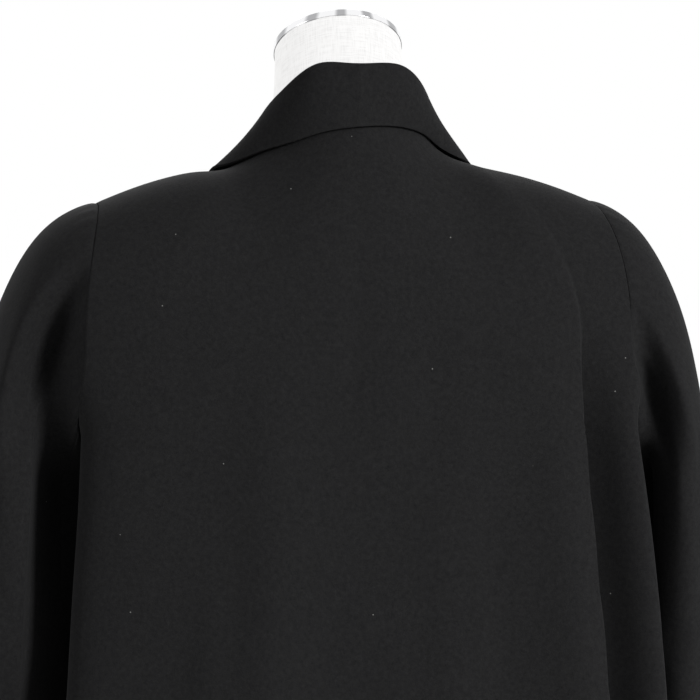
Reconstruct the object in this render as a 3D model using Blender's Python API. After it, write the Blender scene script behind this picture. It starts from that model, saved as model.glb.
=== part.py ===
"""A chesterfield coat hanging on a limbless dress form.

Metres, +Z up. The coat's front faces -Y and its left side is +X. The origin is the middle of the
foot's underside. Each cloth panel is a wall laid on a surface that is worked out from the sizes
below, and neighbouring panels stop SEAM apart.
"""

import math

import bmesh
import bpy
import numpy as np
from mathutils import Matrix, Vector

# Cloth wall and the space between neighbouring pieces
CLOTH = 0.0025
SEAM = 0.0003

# Heights above the floor
HEM_Z = 0.400
UNDERARM_Z = 1.180
YOKE_Z = 1.270
BREAK_Z = 1.130

# Landmarks of the right half pattern: across, back, up
NECK_POINT = np.array((0.086, 0.004, 1.472))
SHOULDER_POINT = np.array((0.244, 0.000, 1.412))
BACK_NECK = np.array((0.000, 0.090, 1.489))
SHOULDER_RISE = 0.0058
NECK_FALL = 0.0102
NECK_DIP = 0.0166
LEFT_DROP = 0.016
LEFT_HOLLOW = 0.0055
NECK_SHARE = 0.36

# Plan sections of the coat's body
SECTION_POWER = 3.6
CHEST_HALF_WIDTH = 0.240
HEM_FLARE = 0.050
YOKE_SPREAD = 0.042
BACK_DEPTH = 0.144
BACK_FLARE = 0.024
YOKE_CORNERS = 0.24
LEFT_CORNER = 0.39
RIGHT_CORNER = 0.45
FRONT_CORNERS = 0.12
FRONT_DEPTH = 0.130
FRONT_FLARE = 0.030
BACK_ARMHOLE_ANGLE = math.radians(42)
FRONT_ARMHOLE_ANGLE = math.radians(133)
SIDE_POWER = 5
SHOULDER_LIFT = 0.24
FRONT_LAP = 0.035

# Largest folds of the body. Across is the distance round the body from the centre back, towards the
# left side, at GIRTH_Z. Run is the length over which a fold grows to its depth, widths are to its
# right and its left, and lean is how far it strays to the left for each metre down.
GIRTH_Z = 0.930
BODY_FOLDS = (
    # across, top_z, run, depth, width_right, width_left, lean
    (-0.2060, 1.34, 0.36, 0.015, 0.020, 0.040, -0.036),
    (-0.2400, 1.31, 0.18, -0.022, 0.020, 0.016, -0.033),
    (-0.2880, 1.26, 0.30, 0.014, 0.018, 0.022, -0.010),
    (-0.0780, 1.40, 0.50, 0.004, 0.030, 0.024, 0.000),
    (0.0900, 1.40, 0.50, 0.013, 0.044, 0.036, 0.020),
    (0.1500, 1.10, 0.30, 0.007, 0.026, 0.020, 0.015),
    (0.2750, 1.22, 0.40, 0.006, 0.040, 0.022, 0.010),
    (0.3250, 1.16, 0.40, -0.010, 0.024, 0.030, 0.010),
    (0.3700, 1.10, 0.50, 0.006, 0.030, 0.030, 0.010),
    (0.4200, 1.10, 0.50, -0.010, 0.032, 0.036, 0.020),
    (0.4900, 1.05, 0.45, 0.010, 0.036, 0.032, 0.010),
    (0.5600, 1.00, 0.45, -0.009, 0.034, 0.032, 0.010),
    (-0.3500, 1.16, 0.35, 0.008, 0.032, 0.034, -0.015),
    (-0.4250, 1.10, 0.45, -0.010, 0.036, 0.032, -0.020),
    (-0.4980, 1.08, 0.50, 0.010, 0.033, 0.036, -0.010),
    (-0.5700, 0.98, 0.45, -0.008, 0.034, 0.034, -0.010),
)
BODY_LIFTS = (
    # across, top_z, run, lift, width_right, width_left, lean
    (-0.2850, 1.33, 0.22, 0.016, 0.018, 0.030, -0.012),
)

# Grid of the body panels
HEM_ROWS = 9
SCOOP_ROWS = 5
YOKE_ROWS = 8
NECK_COLUMNS = 6
SHOULDER_COLUMNS = 13

# Sleeve sections, for the left side
SLEEVE_POWER = 2.3
RIGHT_SLEEVE = 0.84
SLEEVE_SECTIONS = (
    # z, centre_x, centre_y, half_width, half_depth, powers of the left and right hollows towards the body
    (1.130, 0.3145, 0.018, 0.0600, 0.100, 0.80, 1.80),
    (1.030, 0.3200, 0.012, 0.0620, 0.098, 1.00, 2.30),
    (0.930, 0.3245, -0.004, 0.0610, 0.088, 1.30, 2.30),
    (0.830, 0.3260, -0.026, 0.0550, 0.070, 1.90, 2.30),
)
LEFT_SLEEVE_FOLDS = (
    # angle, turn, top_t, depth, width_below, width_above, share left at the cuff
    (38, 28, 0.05, 0.007, 16, 14, 1.0),
    (262, 0, 0.60, -0.005, 14, 12, 1.0),
    (15, 0, 0.80, -0.003, 12, 12, 1.0),
)
RIGHT_SLEEVE_FOLDS = (
    (62, 26, 0.28, 0.006, 14, 12, 1.0),
    (138, 0, 0.40, -0.0240, 18, 24, 1.0),
    (258, 0, 0.55, -0.005, 13, 14, 1.0),
    (22, 0, 0.80, -0.003, 12, 12, 1.0),
)
CAP_ROWS = 7
SLEEVE_ROWS = 8

# Collar, for the left half: from the centre back to the end of its seam at the gorge
COLLAR_SECTIONS = (
    # station, fold_x, fold_y, fold_z, edge_x, edge_y, edge_z
    (0.000, 0.000, 0.094, 1.5400, 0.000, 0.104, 1.4805),
    (0.222, 0.041, 0.086, 1.5395, 0.057, 0.094, 1.4780),
    (0.444, 0.068, 0.053, 1.5180, 0.091, 0.057, 1.4650),
    (0.667, 0.080, 0.003, 1.4880, 0.128, 0.010, 1.4400),
    (0.833, 0.075, -0.041, 1.4530, 0.139, -0.030, 1.4320),
    (1.000, 0.065, -0.075, 1.4120, 0.133, -0.063, 1.4210),
)
COLLAR_SHIFT = 0.0035
COLLAR_DROP = 0.095
GORGE_DROP = 0.012
COLLAR_ROLL = 0.0050
COLLAR_LOWEST = 0.0105
COLLAR_PUFFS = {1: 0.0, -1: 0.0045}
COLLAR_TUCKS = {1: 0.0, -1: 0.15}
COLLAR_CLEAR = 0.0022
GORGE_ROW = 5
STAND_STEPS = 2
ROLL_STEPS = 4
FALL_STEPS = 4

# Lapels, in the front panel's own parameters
LAPEL_SECTIONS = (
    # station, share of the panel's width
    (0.00, 0.020),
    (0.25, 0.070),
    (0.55, 0.155),
    (0.80, 0.262),
    (1.00, 0.385),
)
LAPEL_LOW_V = 0.945
LAPEL_LOW_V_UNDER = 1.78
LAPEL_SLANT = 0.14
LAPEL_LIFT = 0.0010
LAPEL_ROLL = 0.0045
LAPEL_ROWS = 11
LAPEL_COLUMNS = 6
NOTCH_SHARE = 0.56

# Pocket flaps
FLAP_TOP_Z = 0.905
FLAP_DROP = 0.065
FLAP_FROM = 0.30
FLAP_TO = 0.80

# Dress form
FORM_SECTIONS = (
    # level, z, half_width, half_depth, centre_y
    (0, 0.802, 0.120, 0.080, 0.000),
    (1, 0.803, 0.155, 0.105, 0.000),
    (2, 0.815, 0.166, 0.114, 0.000),
    (3, 0.900, 0.172, 0.118, 0.000),
    (4, 1.000, 0.159, 0.108, 0.000),
    (5, 1.080, 0.153, 0.104, 0.000),
    (6, 1.180, 0.166, 0.111, 0.000),
    (7, 1.270, 0.178, 0.113, 0.000),
    (8, 1.325, 0.183, 0.097, 0.004),
    (9, 1.365, 0.187, 0.078, 0.006),
)
FORM_SHOULDER = (0.180, 0.160, 0.135, 0.112)
FORM_SHOULDER_DEPTH = 0.060
FORM_SHOULDER_BACK = 0.012
FORM_BACK_FALL = 0.034
FORM_FRONT_FALL = 0.040
FORM_GAP = 0.0010
FORM_SIDES = 30
NECK_RADIUS = 0.0635
NECK_TOP = (0.0, -0.018, 1.562)
NECK_TILT = math.radians(28)
NECK_LEVELS = 4
RING_HEIGHT = 0.007
RING_WALL = 0.0020
POLE_RADIUS = 0.014
BASE_RADIUS = 0.180
BASE_HEIGHT = 0.014

BUTTON_RADIUS = 0.0135
BUTTON_THICK = 0.0045
BUTTON_HEIGHTS = (1.105, 0.970, 0.835)


def smooth(t):
    """A step from 0 to 1 with level ends."""
    t = np.clip(t, 0, 1)
    return t * t * (3 - 2 * t)


def power(value, exponent):
    """A power that keeps the sign."""
    return np.sign(value) * np.abs(value) ** exponent


def unit(vectors):
    return vectors / np.linalg.norm(vectors, axis=-1, keepdims=True)


def stack(x, y, z):
    return np.stack(np.broadcast_arrays(x, y, z), axis=-1).astype(float)


def through(table, column, at):
    """A smooth curve through one column of a table, against its first column."""
    keys = np.array([row[0] for row in table], float)
    values = np.array([row[column] for row in table], float)
    if keys[0] > keys[-1]:
        keys, values = keys[::-1], values[::-1]
    slopes = np.gradient(values, keys)
    at = np.clip(at, keys[0], keys[-1])
    i = np.clip(np.searchsorted(keys, at) - 1, 0, len(keys) - 2)
    span = keys[i + 1] - keys[i]
    return blend(values[i], values[i + 1], slopes[i] * span, slopes[i + 1] * span, (at - keys[i]) / span)


def blend(start, end, leave, arrive, t):
    """A cubic from start to end with the given end slopes."""
    s = 1 - t
    return (
        s * s * (1 + 2 * t) * start
        + t * t * (3 - 2 * t) * end
        + t * s * s * leave
        - t * t * s * arrive
    )


def skirt_half_width(z):
    flare = np.clip((YOKE_Z - z) / (YOKE_Z - HEM_Z), 0, None) ** 1.1
    return CHEST_HALF_WIDTH + HEM_FLARE * flare


def at_yoke(z):
    """0 at the underarm and below, 1 at the yoke."""
    return smooth((z - UNDERARM_Z) / (YOKE_Z - UNDERARM_Z))


def half_width(z):
    return skirt_half_width(z) + YOKE_SPREAD * at_yoke(z)


def corner(angle):
    """How far the body's corner stands out beside the hanging sleeve, as a share of the width."""
    back = np.where(np.sin(angle) > 0, LEFT_CORNER, RIGHT_CORNER)
    return np.where(np.cos(angle) > 0, back, FRONT_CORNERS)


def yoke_corner(angle):
    return np.where(np.cos(angle) > 0, YOKE_CORNERS, 0)


def body_depths(z):
    flare = (YOKE_Z - z) / (YOKE_Z - HEM_Z)
    return BACK_DEPTH + BACK_FLARE * flare, FRONT_DEPTH + FRONT_FLARE * flare


def body_angle(x, z):
    """The section angle, from the centre line, at which the front is x wide, near its middle."""
    wide = half_width(z) * (1 + FRONT_CORNERS * (1 - at_yoke(z)))
    return np.arcsin(power(np.clip(x / wide, -1, 1), SECTION_POWER / 2))


def section(angle, z):
    """The plan section at a height: a rounded oblong, spread out at the corners."""
    back, front = body_depths(z)
    depth = np.where(np.cos(angle) > 0, back, front)
    y = depth * power(np.cos(angle), 2 / SECTION_POWER)
    share = corner(angle) + (yoke_corner(angle) - corner(angle)) * at_yoke(z)
    spread = 1 + share * (y / depth) ** 2
    return half_width(z) * power(np.sin(angle), 2 / SECTION_POWER) * spread, y


def girth(angle, z):
    """The distance round the section from the centre back, as at GIRTH_Z."""
    fine = np.linspace(-1.1 * math.pi, 1.1 * math.pi, 8001)
    x, y = section(fine, GIRTH_Z)
    length = np.concatenate([[0], np.cumsum(np.hypot(np.diff(x), np.diff(y)))])
    length -= length[len(fine) // 2]
    wider = half_width(z) / skirt_half_width(z)
    squarer = 1 + ((1 + yoke_corner(angle)) / (1 + corner(angle)) - 1) * at_yoke(z)
    return np.interp(angle, fine, length) * wider * squarer


def body_fold(angle, z):
    """How far the folds stand out at a section angle and height."""
    place = girth(angle, z)
    depth = np.zeros(place.shape)
    for across, top_z, run, fold_depth, right, left, lean in BODY_FOLDS:
        away = place - across - lean * (top_z - z)
        width = np.where(away < 0, right, left)
        depth = depth + fold_depth * smooth((top_z - z) / run) * np.exp(-((away / width) ** 2))
    return depth


def body_lift(angle, z):
    """How far the cloth stands back at the right corner."""
    place = girth(angle, z)
    back = np.zeros_like(place)
    for across, top_z, run, lift, right, left, lean in BODY_LIFTS:
        away = place - across - lean * (top_z - z)
        width = np.where(away < 0, right, left)
        back = back + lift * smooth((top_z - z) / run) * np.exp(-((away / width) ** 2))
    return back


def body_point(angle, z):
    """A point of the coat's body: its plan section, moved out by the folds."""
    back, front = body_depths(z)
    depth = np.where(np.cos(angle) > 0, back, front)
    lean = 2 - 2 / SECTION_POWER
    out = unit(stack(power(np.sin(angle), lean) / half_width(z), power(np.cos(angle), lean) / depth, 0 * z))
    moved = stack(*section(angle, z), z) + body_fold(angle, z)[..., None] * out
    return moved + stack(0, body_lift(angle, z), 0)


def settle(points):
    """The coat on the form: lower on its left shoulder, and pressed down under the collar's left end."""
    x, z = points[..., 0], points[..., 2]
    drop = LEFT_DROP * x * smooth((z - 0.95) / 0.35)
    pressed = LEFT_HOLLOW * np.exp(-(((x - 0.118) / 0.022) ** 2)) * smooth((z - 1.38) / 0.06)
    return points - stack(0, 0, drop + pressed)


def shoulder_line(t):
    """The shoulder seam, from the neck point to the shoulder point."""
    t = np.asarray(t, float)[..., None]
    left = np.clip(1 - t, 0, None)
    hollow = NECK_FALL * (1 - t - left**7) + NECK_DIP * (left**2 - left**9)
    rise = SHOULDER_RISE * np.sin(math.pi * t) - hollow
    return NECK_POINT + (SHOULDER_POINT - NECK_POINT) * t + np.array((0, 0, 1)) * rise


def back_top(u):
    """The back's upper edge: half the neck, then the shoulder seam."""
    part = np.abs(u)
    turn = np.clip(part / NECK_SHARE, 0, 1) * math.pi / 2
    neck = stack(
        NECK_POINT[0] * np.sin(turn),
        NECK_POINT[1] + (BACK_NECK[1] - NECK_POINT[1]) * np.cos(turn),
        NECK_POINT[2] + (BACK_NECK[2] - NECK_POINT[2]) * np.cos(turn) ** 1.5,
    )
    seam = shoulder_line((part - NECK_SHARE) / (1 - NECK_SHARE))
    top = np.where((part > NECK_SHARE)[..., None], seam, neck)
    return top * stack(np.where(u < 0, -1, 1), 1, 1)


def level(v):
    """Height and scoop angle of a panel row: hem to underarm, armhole scoop, then the yoke."""
    scoop = np.clip(v - 1, 0, 1) * math.pi / 2
    rise = np.clip(v, 0, 1) * (UNDERARM_Z - HEM_Z)
    return HEM_Z + rise + (1 - np.cos(scoop)) * (YOKE_Z - UNDERARM_Z), scoop


def eased_top(u):
    """The back's upper edge with its corner at the neck rounded off."""
    return np.mean([back_top(u + shift) for shift in np.linspace(-0.15, 0.15, 7)], axis=0)


def back_surface(u, v):
    """The back: u from the right armhole to the left one, v up from the hem to the shoulders."""
    u, v = np.broadcast_arrays(u, v)
    z, scoop = level(v)
    side = (math.pi / 2 - BACK_ARMHOLE_ANGLE) * (1 - np.sin(scoop))
    angle = u * BACK_ARMHOLE_ANGLE + side * power(u, SIDE_POWER)
    low = body_point(angle, z)
    flat = stack(*section(angle, z), z)
    over = smooth((np.abs(u) - 0.3 * NECK_SHARE) / (1.2 * NECK_SHARE))
    arrive = stack(0, -0.09 - 0.23 * over, 0.16 * (1 - over))
    t = (v - 2)[..., None]
    yoke = blend(flat, eased_top(u), np.array((0, 0, SHOULDER_LIFT)), arrive, t)
    yoke = yoke + (low - flat) * np.clip(1 - t, 0, 1) ** 3
    yoke = yoke + (back_top(u) - eased_top(u)) * np.clip(t, 0, None) ** 6
    return settle(np.where((v > 2)[..., None], yoke, low))


def front_edge_x(z):
    """Where the front edge lies: straight to the break, then the roll line to the neck point."""
    rise = np.clip((z - BREAK_Z) / (NECK_POINT[2] - BREAK_Z), 0, 1)
    return -FRONT_LAP + (NECK_POINT[0] + FRONT_LAP) * rise


def front_surface(u, v, side):
    """A front: u from its front edge to the side seam or armhole, v up from the hem."""
    u, v = np.broadcast_arrays(u, v)
    z, scoop = level(v)
    reach = (math.pi / 2 - FRONT_ARMHOLE_ANGLE) * (1 - np.sin(scoop))
    lap = math.pi - body_angle(front_edge_x(z), z)
    low = body_point(side * (lap + u * (FRONT_ARMHOLE_ANGLE - lap) + reach * power(u, SIDE_POWER)), z)
    if side < 0:
        under = smooth((low[..., 0] + FRONT_LAP + 0.045) / 0.030)
        low[..., 1] += (CLOTH + 4 * SEAM) * under
    near = (1 - np.clip(u, 0, 1)) ** 2
    leave = stack(side * 0.075 * near, 0, SHOULDER_LIFT)
    arrive = stack(side * 0.03 * near, 0.28 - 0.08 * near, 0.14 * near)
    top = shoulder_line(u) * np.array((side, 1, 1))
    yoke = blend(low, top, leave, arrive, (v - 2)[..., None])
    return settle(np.where((v > 2)[..., None], yoke, low))


def armhole(angle, side):
    """The armhole: from the shoulder point down the back to the underarm and up the front."""
    angle = np.mod(angle, 2 * math.pi)
    behind = angle <= math.pi
    v = 3 - 2 * np.where(behind, angle, 2 * math.pi - angle) / math.pi
    back = back_surface(side * np.ones_like(v), v)
    front = front_surface(np.ones_like(v), v, side)
    return np.where(behind[..., None], back, front)


def sleeve_fold(angle, t, side):
    """How far the folds stand out at a sleeve's angle and length."""
    degrees = np.degrees(np.mod(angle, 2 * math.pi))
    depth = np.zeros(np.broadcast(angle, t).shape)
    folds = LEFT_SLEEVE_FOLDS if side > 0 else RIGHT_SLEEVE_FOLDS
    for middle, turn, top_t, fold_depth, below, above, kept in folds:
        away = (degrees - middle - turn * np.clip(t, 0, 1) + 180) % 360 - 180
        width = np.where(away < 0, below, above)
        grown = smooth((t - top_t) / 0.5) * (1 - (1 - kept) * smooth((t - 1.0) / 0.8))
        depth = depth + fold_depth * grown * np.exp(-((away / width) ** 2))
    return depth


def sleeve_section(angle, z, side):
    """A plain section of the sleeve by its angle from the outer side, and its outward directions."""
    width = through(SLEEVE_SECTIONS, 3, z) * (1 if side > 0 else RIGHT_SLEEVE)
    depth = through(SLEEVE_SECTIONS, 4, z)
    hollow = (np.cos(angle) < 0) & (np.sin(angle) > 0)
    bulge = 2 / np.where(hollow, through(SLEEVE_SECTIONS, 5 if side > 0 else 6, z), SLEEVE_POWER)
    x = power(np.cos(angle), bulge)
    y = power(np.sin(angle), bulge)
    degrees = np.degrees(np.mod(angle, 2 * math.pi))
    cut = (0.030 if side > 0 else 0.010) * smooth((z - 0.83) / 0.3)
    cut = cut * smooth((degrees - 80) / 40) * (1 - smooth((degrees - 130) / 40))
    lean = 2 - 2 / SLEEVE_POWER
    out = unit(stack(power(np.cos(angle), lean) / width, power(np.sin(angle), lean) / depth, 0 * z))
    x = through(SLEEVE_SECTIONS, 1, z) + width * x
    y = through(SLEEVE_SECTIONS, 2, z) + depth * y - cut
    plain = stack(x, y, z)
    mirror = np.array((side, 1, 1))
    return settle(plain * mirror), out * mirror


def sleeve_surface(angle, t, side):
    """A sleeve: t from 0 at the armhole to 1 at the upper arm, and to 2 at the cuff."""
    angle, t = np.broadcast_arrays(angle, t)
    top_z, cuff_z = SLEEVE_SECTIONS[0][0], SLEEVE_SECTIONS[-1][0]
    z = top_z + (cuff_z - top_z) * np.clip(t - 1, 0, 1)
    low, out = sleeve_section(angle, z, side)
    start = armhole(angle, side)
    length = np.linalg.norm(low - start, axis=-1, keepdims=True)
    outer = (1 + np.cos(angle)) / 2
    degrees = np.degrees(np.mod(angle, 2 * math.pi))
    behind = -1.9 * smooth((degrees - (45 if side > 0 else 72)) / 36)
    dip = np.where(np.sin(angle) > 0, behind, 0.5) * np.sin(angle) ** 2
    inner = smooth((degrees - 112) / 30) * (1 - smooth((degrees - 170) / 40))
    across = (0.45 + 0.47 * outer**1.5 - 0.15 * np.abs(np.sin(angle))) * (1 - 0.9 * inner)
    across = across + (0.6 if side > 0 else 0.35) * np.exp(-(((degrees - 98) / 18) ** 2))
    leave = length * stack(side * across, dip, -0.75 + 0.60 * outer - 0.25 * inner)
    arrive = length * stack(side * 0.08 * outer, -0.05, -0.97)
    cap = blend(start, low, leave, arrive, t[..., None])
    return np.where((t < 1)[..., None], cap, low) + sleeve_fold(angle, t, side)[..., None] * out


def facing(surface, u, v, sign):
    """Outward normals of a surface, by small steps along its two parameters."""
    step = 1e-4
    along = surface(u + step, v) - surface(u - step, v)
    up = surface(u, v + step) - surface(u, v - step)
    return sign * unit(np.cross(along, up))


def eased(values, reach):
    """Values along the collar, each replaced by the mean of its neighbours."""
    count = math.ceil(3 * reach)
    weights = np.exp(-0.5 * (np.arange(-count, count + 1) / reach) ** 2)
    padded = np.concatenate([np.repeat(values[:1], count, 0), values, np.repeat(values[-1:], count, 0)])
    return sum(weight * padded[k:k + len(values)] for k, weight in enumerate(weights / weights.sum()))


def above_skin(points, skin, skin_normals):
    """Each point's height over the coat's shoulders, and the outward direction there."""
    near = np.argmin(np.linalg.norm(points[:, None] - skin[None], axis=-1), axis=1)
    height = np.einsum("ij,ij->i", points - skin[near], skin_normals[near])
    return height, unit(eased(skin_normals[near], 1))


def collar_path(seam, fold, edge, bend, fullness):
    """The collar's upper side across: up the stand, over the roll, down the fall."""
    up = unit(eased(fold - (seam + edge) / 2, 1.2))
    out = eased(edge - seam, 1.2)
    out = unit(out - np.sum(out * up, axis=-1, keepdims=True) * up)
    stand = np.linalg.norm(fold - seam, axis=-1, keepdims=True)
    radius = np.minimum(COLLAR_ROLL, stand / 2)
    middle = fold - radius * up
    start, end = middle - radius * out, middle + radius * out
    parts = [seam + (start - seam) * k / STAND_STEPS for k in range(STAND_STEPS)]
    for k in range(ROLL_STEPS):
        turn = math.pi * k / ROLL_STEPS
        parts.append(middle + radius * (up * math.sin(turn) - out * math.cos(turn)))
    for k in range(FALL_STEPS + 1):
        share = k / FALL_STEPS
        hat = 1 - abs(2 * share - 1)
        puff = 4 * share * (1 - share)
        parts.append(end + (edge - end) * share + bend * hat + fullness * puff * out)
    return np.stack(parts)


def set_back(points, edges):
    """Draws the named edges of a grid of points in by half a seam."""
    points = points.copy()
    if "first_row" in edges:
        points[0] += unit(points[1] - points[0]) * SEAM / 2
    if "last_row" in edges:
        points[-1] += unit(points[-2] - points[-1]) * SEAM / 2
    if "first_column" in edges:
        points[:, 0] += unit(points[:, 1] - points[:, 0]) * SEAM / 2
    if "last_column" in edges:
        points[:, -1] += unit(points[:, -2] - points[:, -1]) * SEAM / 2
    return points


def new_object(name, bm, material, collection, angle=math.radians(50)):
    """Finishes a mesh: outward faces, smooth shading, one material."""
    bmesh.ops.recalc_face_normals(bm, faces=bm.faces[:])
    if bm.calc_volume(signed=True) < 0:
        bmesh.ops.reverse_faces(bm, faces=bm.faces[:])
    mesh = bpy.data.meshes.new(name)
    bm.to_mesh(mesh)
    bm.free()
    mesh.shade_smooth()
    mesh.set_sharp_from_angle(angle=angle)
    mesh.materials.append(material)
    thing = bpy.data.objects.new(name, mesh)
    collection.objects.link(thing)
    return thing


def wall(name, outer, inner, material, collection):
    """A panel: a grid laid on the outer points and extruded to the inner ones."""
    rows, columns = outer.shape[:2]
    bm = bmesh.new()
    bmesh.ops.create_grid(bm, x_segments=columns - 1, y_segments=rows - 1, size=1)
    grown = bmesh.ops.extrude_face_region(bm, geom=bm.faces[:])
    top = {vert for vert in grown["geom"] if isinstance(vert, bmesh.types.BMVert)}
    for vert in bm.verts:
        column = round((vert.co.x + 1) / 2 * (columns - 1))
        row = round((vert.co.y + 1) / 2 * (rows - 1))
        vert.co = inner[row, column] if vert in top else outer[row, column]
    bmesh.ops.triangulate(bm, faces=bm.faces[:], quad_method="SHORT_EDGE")
    return new_object(name, bm, material, collection)


def grid_normals(points):
    """Normals of a grid of points, from its rows and columns."""
    along = np.gradient(points, axis=1)
    across = np.gradient(points, axis=0)
    return unit(np.cross(along, across))


def lapel_points(front, side, low_v):
    """A lapel's upper side: the front panel's points, moved out, highest at the roll line."""
    gorge_v = 2 + GORGE_ROW / YOKE_ROWS
    station = np.linspace(0, 1, LAPEL_ROWS + 1)[:, None]
    across = np.linspace(0, 1, LAPEL_COLUMNS + 1)[None, :]
    top = gorge_v - 0.014 - LAPEL_SLANT * across
    u = 0.004 + across * through(LAPEL_SECTIONS, 1, station)
    v = low_v + (top - low_v) * station
    normals = facing(front, u, v, side)
    roll = LAPEL_ROLL * smooth(station / 0.15) * np.exp(-((across * station / 0.22) ** 2))
    outer = front(u, v) + (CLOTH + LAPEL_LIFT + roll)[..., None] * normals
    return outer, normals


def make_collar(fronts, skin, skin_normals, material, collection):
    """The collar: both halves' sections from one gorge over the centre back to the other."""
    neck_u = NECK_SHARE * np.arange(NECK_COLUMNS + 1) / NECK_COLUMNS
    front_v = 3 - np.arange(1, YOKE_ROWS - GORGE_ROW + 1) / YOKE_ROWS
    halves = []
    for side in (1, -1):
        behind = back_surface(side * neck_u, np.full_like(neck_u, 3.0))
        before = fronts[side](np.zeros_like(front_v), front_v)
        seam_out = facing(fronts[side], np.array(0.0), np.array(2 + GORGE_ROW / YOKE_ROWS), side)
        seam = np.concatenate([behind, before])
        count = len(seam)
        fine = np.linspace(0, count - 1, 2 * count - 1)
        seam = np.stack([np.interp(fine, np.arange(count), seam[:, k]) for k in range(3)], axis=-1)
        station = fine / (count - 1)
        flat = smooth((station - 2 / 3) * 3)[:, None]
        lift = (1 - flat) * np.array((0, 0, 1.5 * SEAM)) + flat * (CLOTH + COLLAR_CLEAR) * seam_out
        mirror = np.array((side, 1, 1))
        fold = mirror * stack(*[through(COLLAR_SECTIONS, k, station) for k in (1, 2, 3)])
        edge = mirror * stack(*[through(COLLAR_SECTIONS, k, station) for k in (4, 5, 6)])
        askew = COLLAR_SHIFT * np.sin(math.pi * station)
        onward = smooth((station - 0.5) / 0.4)
        fold -= stack(askew, 0, GORGE_DROP * onward * (fold[:, 0] - askew))
        drop = COLLAR_DROP + (GORGE_DROP - COLLAR_DROP) * onward
        edge -= stack(askew, 0, drop * (edge[:, 0] - askew))
        tuck = COLLAR_TUCKS[side] * np.exp(-(((station - 0.47) / 0.12) ** 2))
        edge += tuck[:, None] * (fold - edge)
        gorge_v = 2 + GORGE_ROW / YOKE_ROWS
        share = NOTCH_SHARE * LAPEL_SECTIONS[-1][1]
        place = (np.array([share]), np.array([gorge_v + 0.010 - LAPEL_SLANT * NOTCH_SHARE]))
        notch = (fronts[side](*place) + (CLOTH + COLLAR_CLEAR) * facing(fronts[side], *place, side))[0]
        bend = (notch - (fold[-1] + edge[-1]) / 2) * (smooth((station - 0.84) / 0.16) ** 2)[:, None]
        full = COLLAR_PUFFS[side] * smooth(station / 0.3) * (1 - smooth((station - 0.72) / 0.2))
        halves.append(np.concatenate([seam + lift, fold, edge, bend, full[:, None]], axis=1))
    whole = np.concatenate([halves[1][:0:-1], halves[0]])
    seam, fold, edge, bend = whole[:, 0:3], whole[:, 3:6], whole[:, 6:9], whole[:, 9:12]
    stand = np.linalg.norm(fold - seam, axis=-1, keepdims=True)
    fold = seam + (fold - seam) * np.maximum(1, COLLAR_LOWEST / stand)
    room = CLOTH + COLLAR_CLEAR
    for _ in range(3):
        height, away = above_skin(edge, skin, skin_normals)
        edge = edge + eased(room - height, 0.5)[:, None] * away
    upper = collar_path(seam, fold, edge, bend, whole[:, 12:13])
    for row in range(STAND_STEPS + ROLL_STEPS + 1, len(upper)):
        height, away = above_skin(upper[row], skin, skin_normals)
        short = np.pad(np.clip(room - height, 0, None), 1, mode="edge")
        short = np.max([short[:-2], short[1:-1], short[2:]], axis=0)
        upper[row] = upper[row] + eased(short, 0.5)[:, None] * away
    normals = grid_normals(upper)
    return wall("collar", upper, upper - CLOTH * normals, material, collection)


def make_flap(name, front, side, material, collection):
    """A pocket flap: the front panel's points, moved out, with rounded lower corners."""
    across = np.linspace(0, 1, 9)[None, :]
    down = np.linspace(0, 1, 4)[:, None]
    u = FLAP_FROM + (FLAP_TO - FLAP_FROM) * across
    curve = 0.16 * (np.abs(2 * across - 1) ** 6) * FLAP_DROP
    z = FLAP_TOP_Z - down * (FLAP_DROP - curve)
    v = (z - HEM_Z) / (UNDERARM_Z - HEM_Z)
    u, v = np.broadcast_arrays(u, v)
    normals = facing(front, u, v, side)
    outer = front(u, v) + (CLOTH + 0.0010) * normals
    return wall(name, outer, outer - CLOTH * normals, material, collection)


def make_button(name, z, material, collection):
    """A round button with a softened edge, flat on the left front's centre line."""
    place = settle(body_point(np.array(math.pi), np.array(z)))
    below = settle(body_point(np.array(math.pi), np.array(z - 0.01)))
    lean = math.atan2(place[1] - below[1], 0.01)
    bm = bmesh.new()
    bmesh.ops.create_cone(
        bm, cap_ends=True, segments=24, radius1=BUTTON_RADIUS, radius2=BUTTON_RADIUS, depth=BUTTON_THICK
    )
    rims = [e for e in bm.edges if abs(e.verts[0].co.z - e.verts[1].co.z) < 1e-6]
    bmesh.ops.bevel(bm, geom=rims, offset=0.0012, segments=2, affect="EDGES", profile=0.6)
    bmesh.ops.rotate(bm, verts=bm.verts[:], matrix=Matrix.Rotation(math.pi / 2 - lean, 3, "X"))
    middle = Vector(place) - Vector((0, BUTTON_THICK / 2 + 2 * SEAM, 0))
    bmesh.ops.translate(bm, verts=bm.verts[:], vec=middle)
    return new_object(name, bm, material, collection)


def tilted(points, middle):
    """Points of the neck's top, turned to its forward slope and placed."""
    y = points[..., 1] * math.cos(NECK_TILT) - points[..., 2] * math.sin(NECK_TILT)
    z = points[..., 1] * math.sin(NECK_TILT) + points[..., 2] * math.cos(NECK_TILT)
    return stack(points[..., 0], y, z) + np.array(middle)


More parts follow.
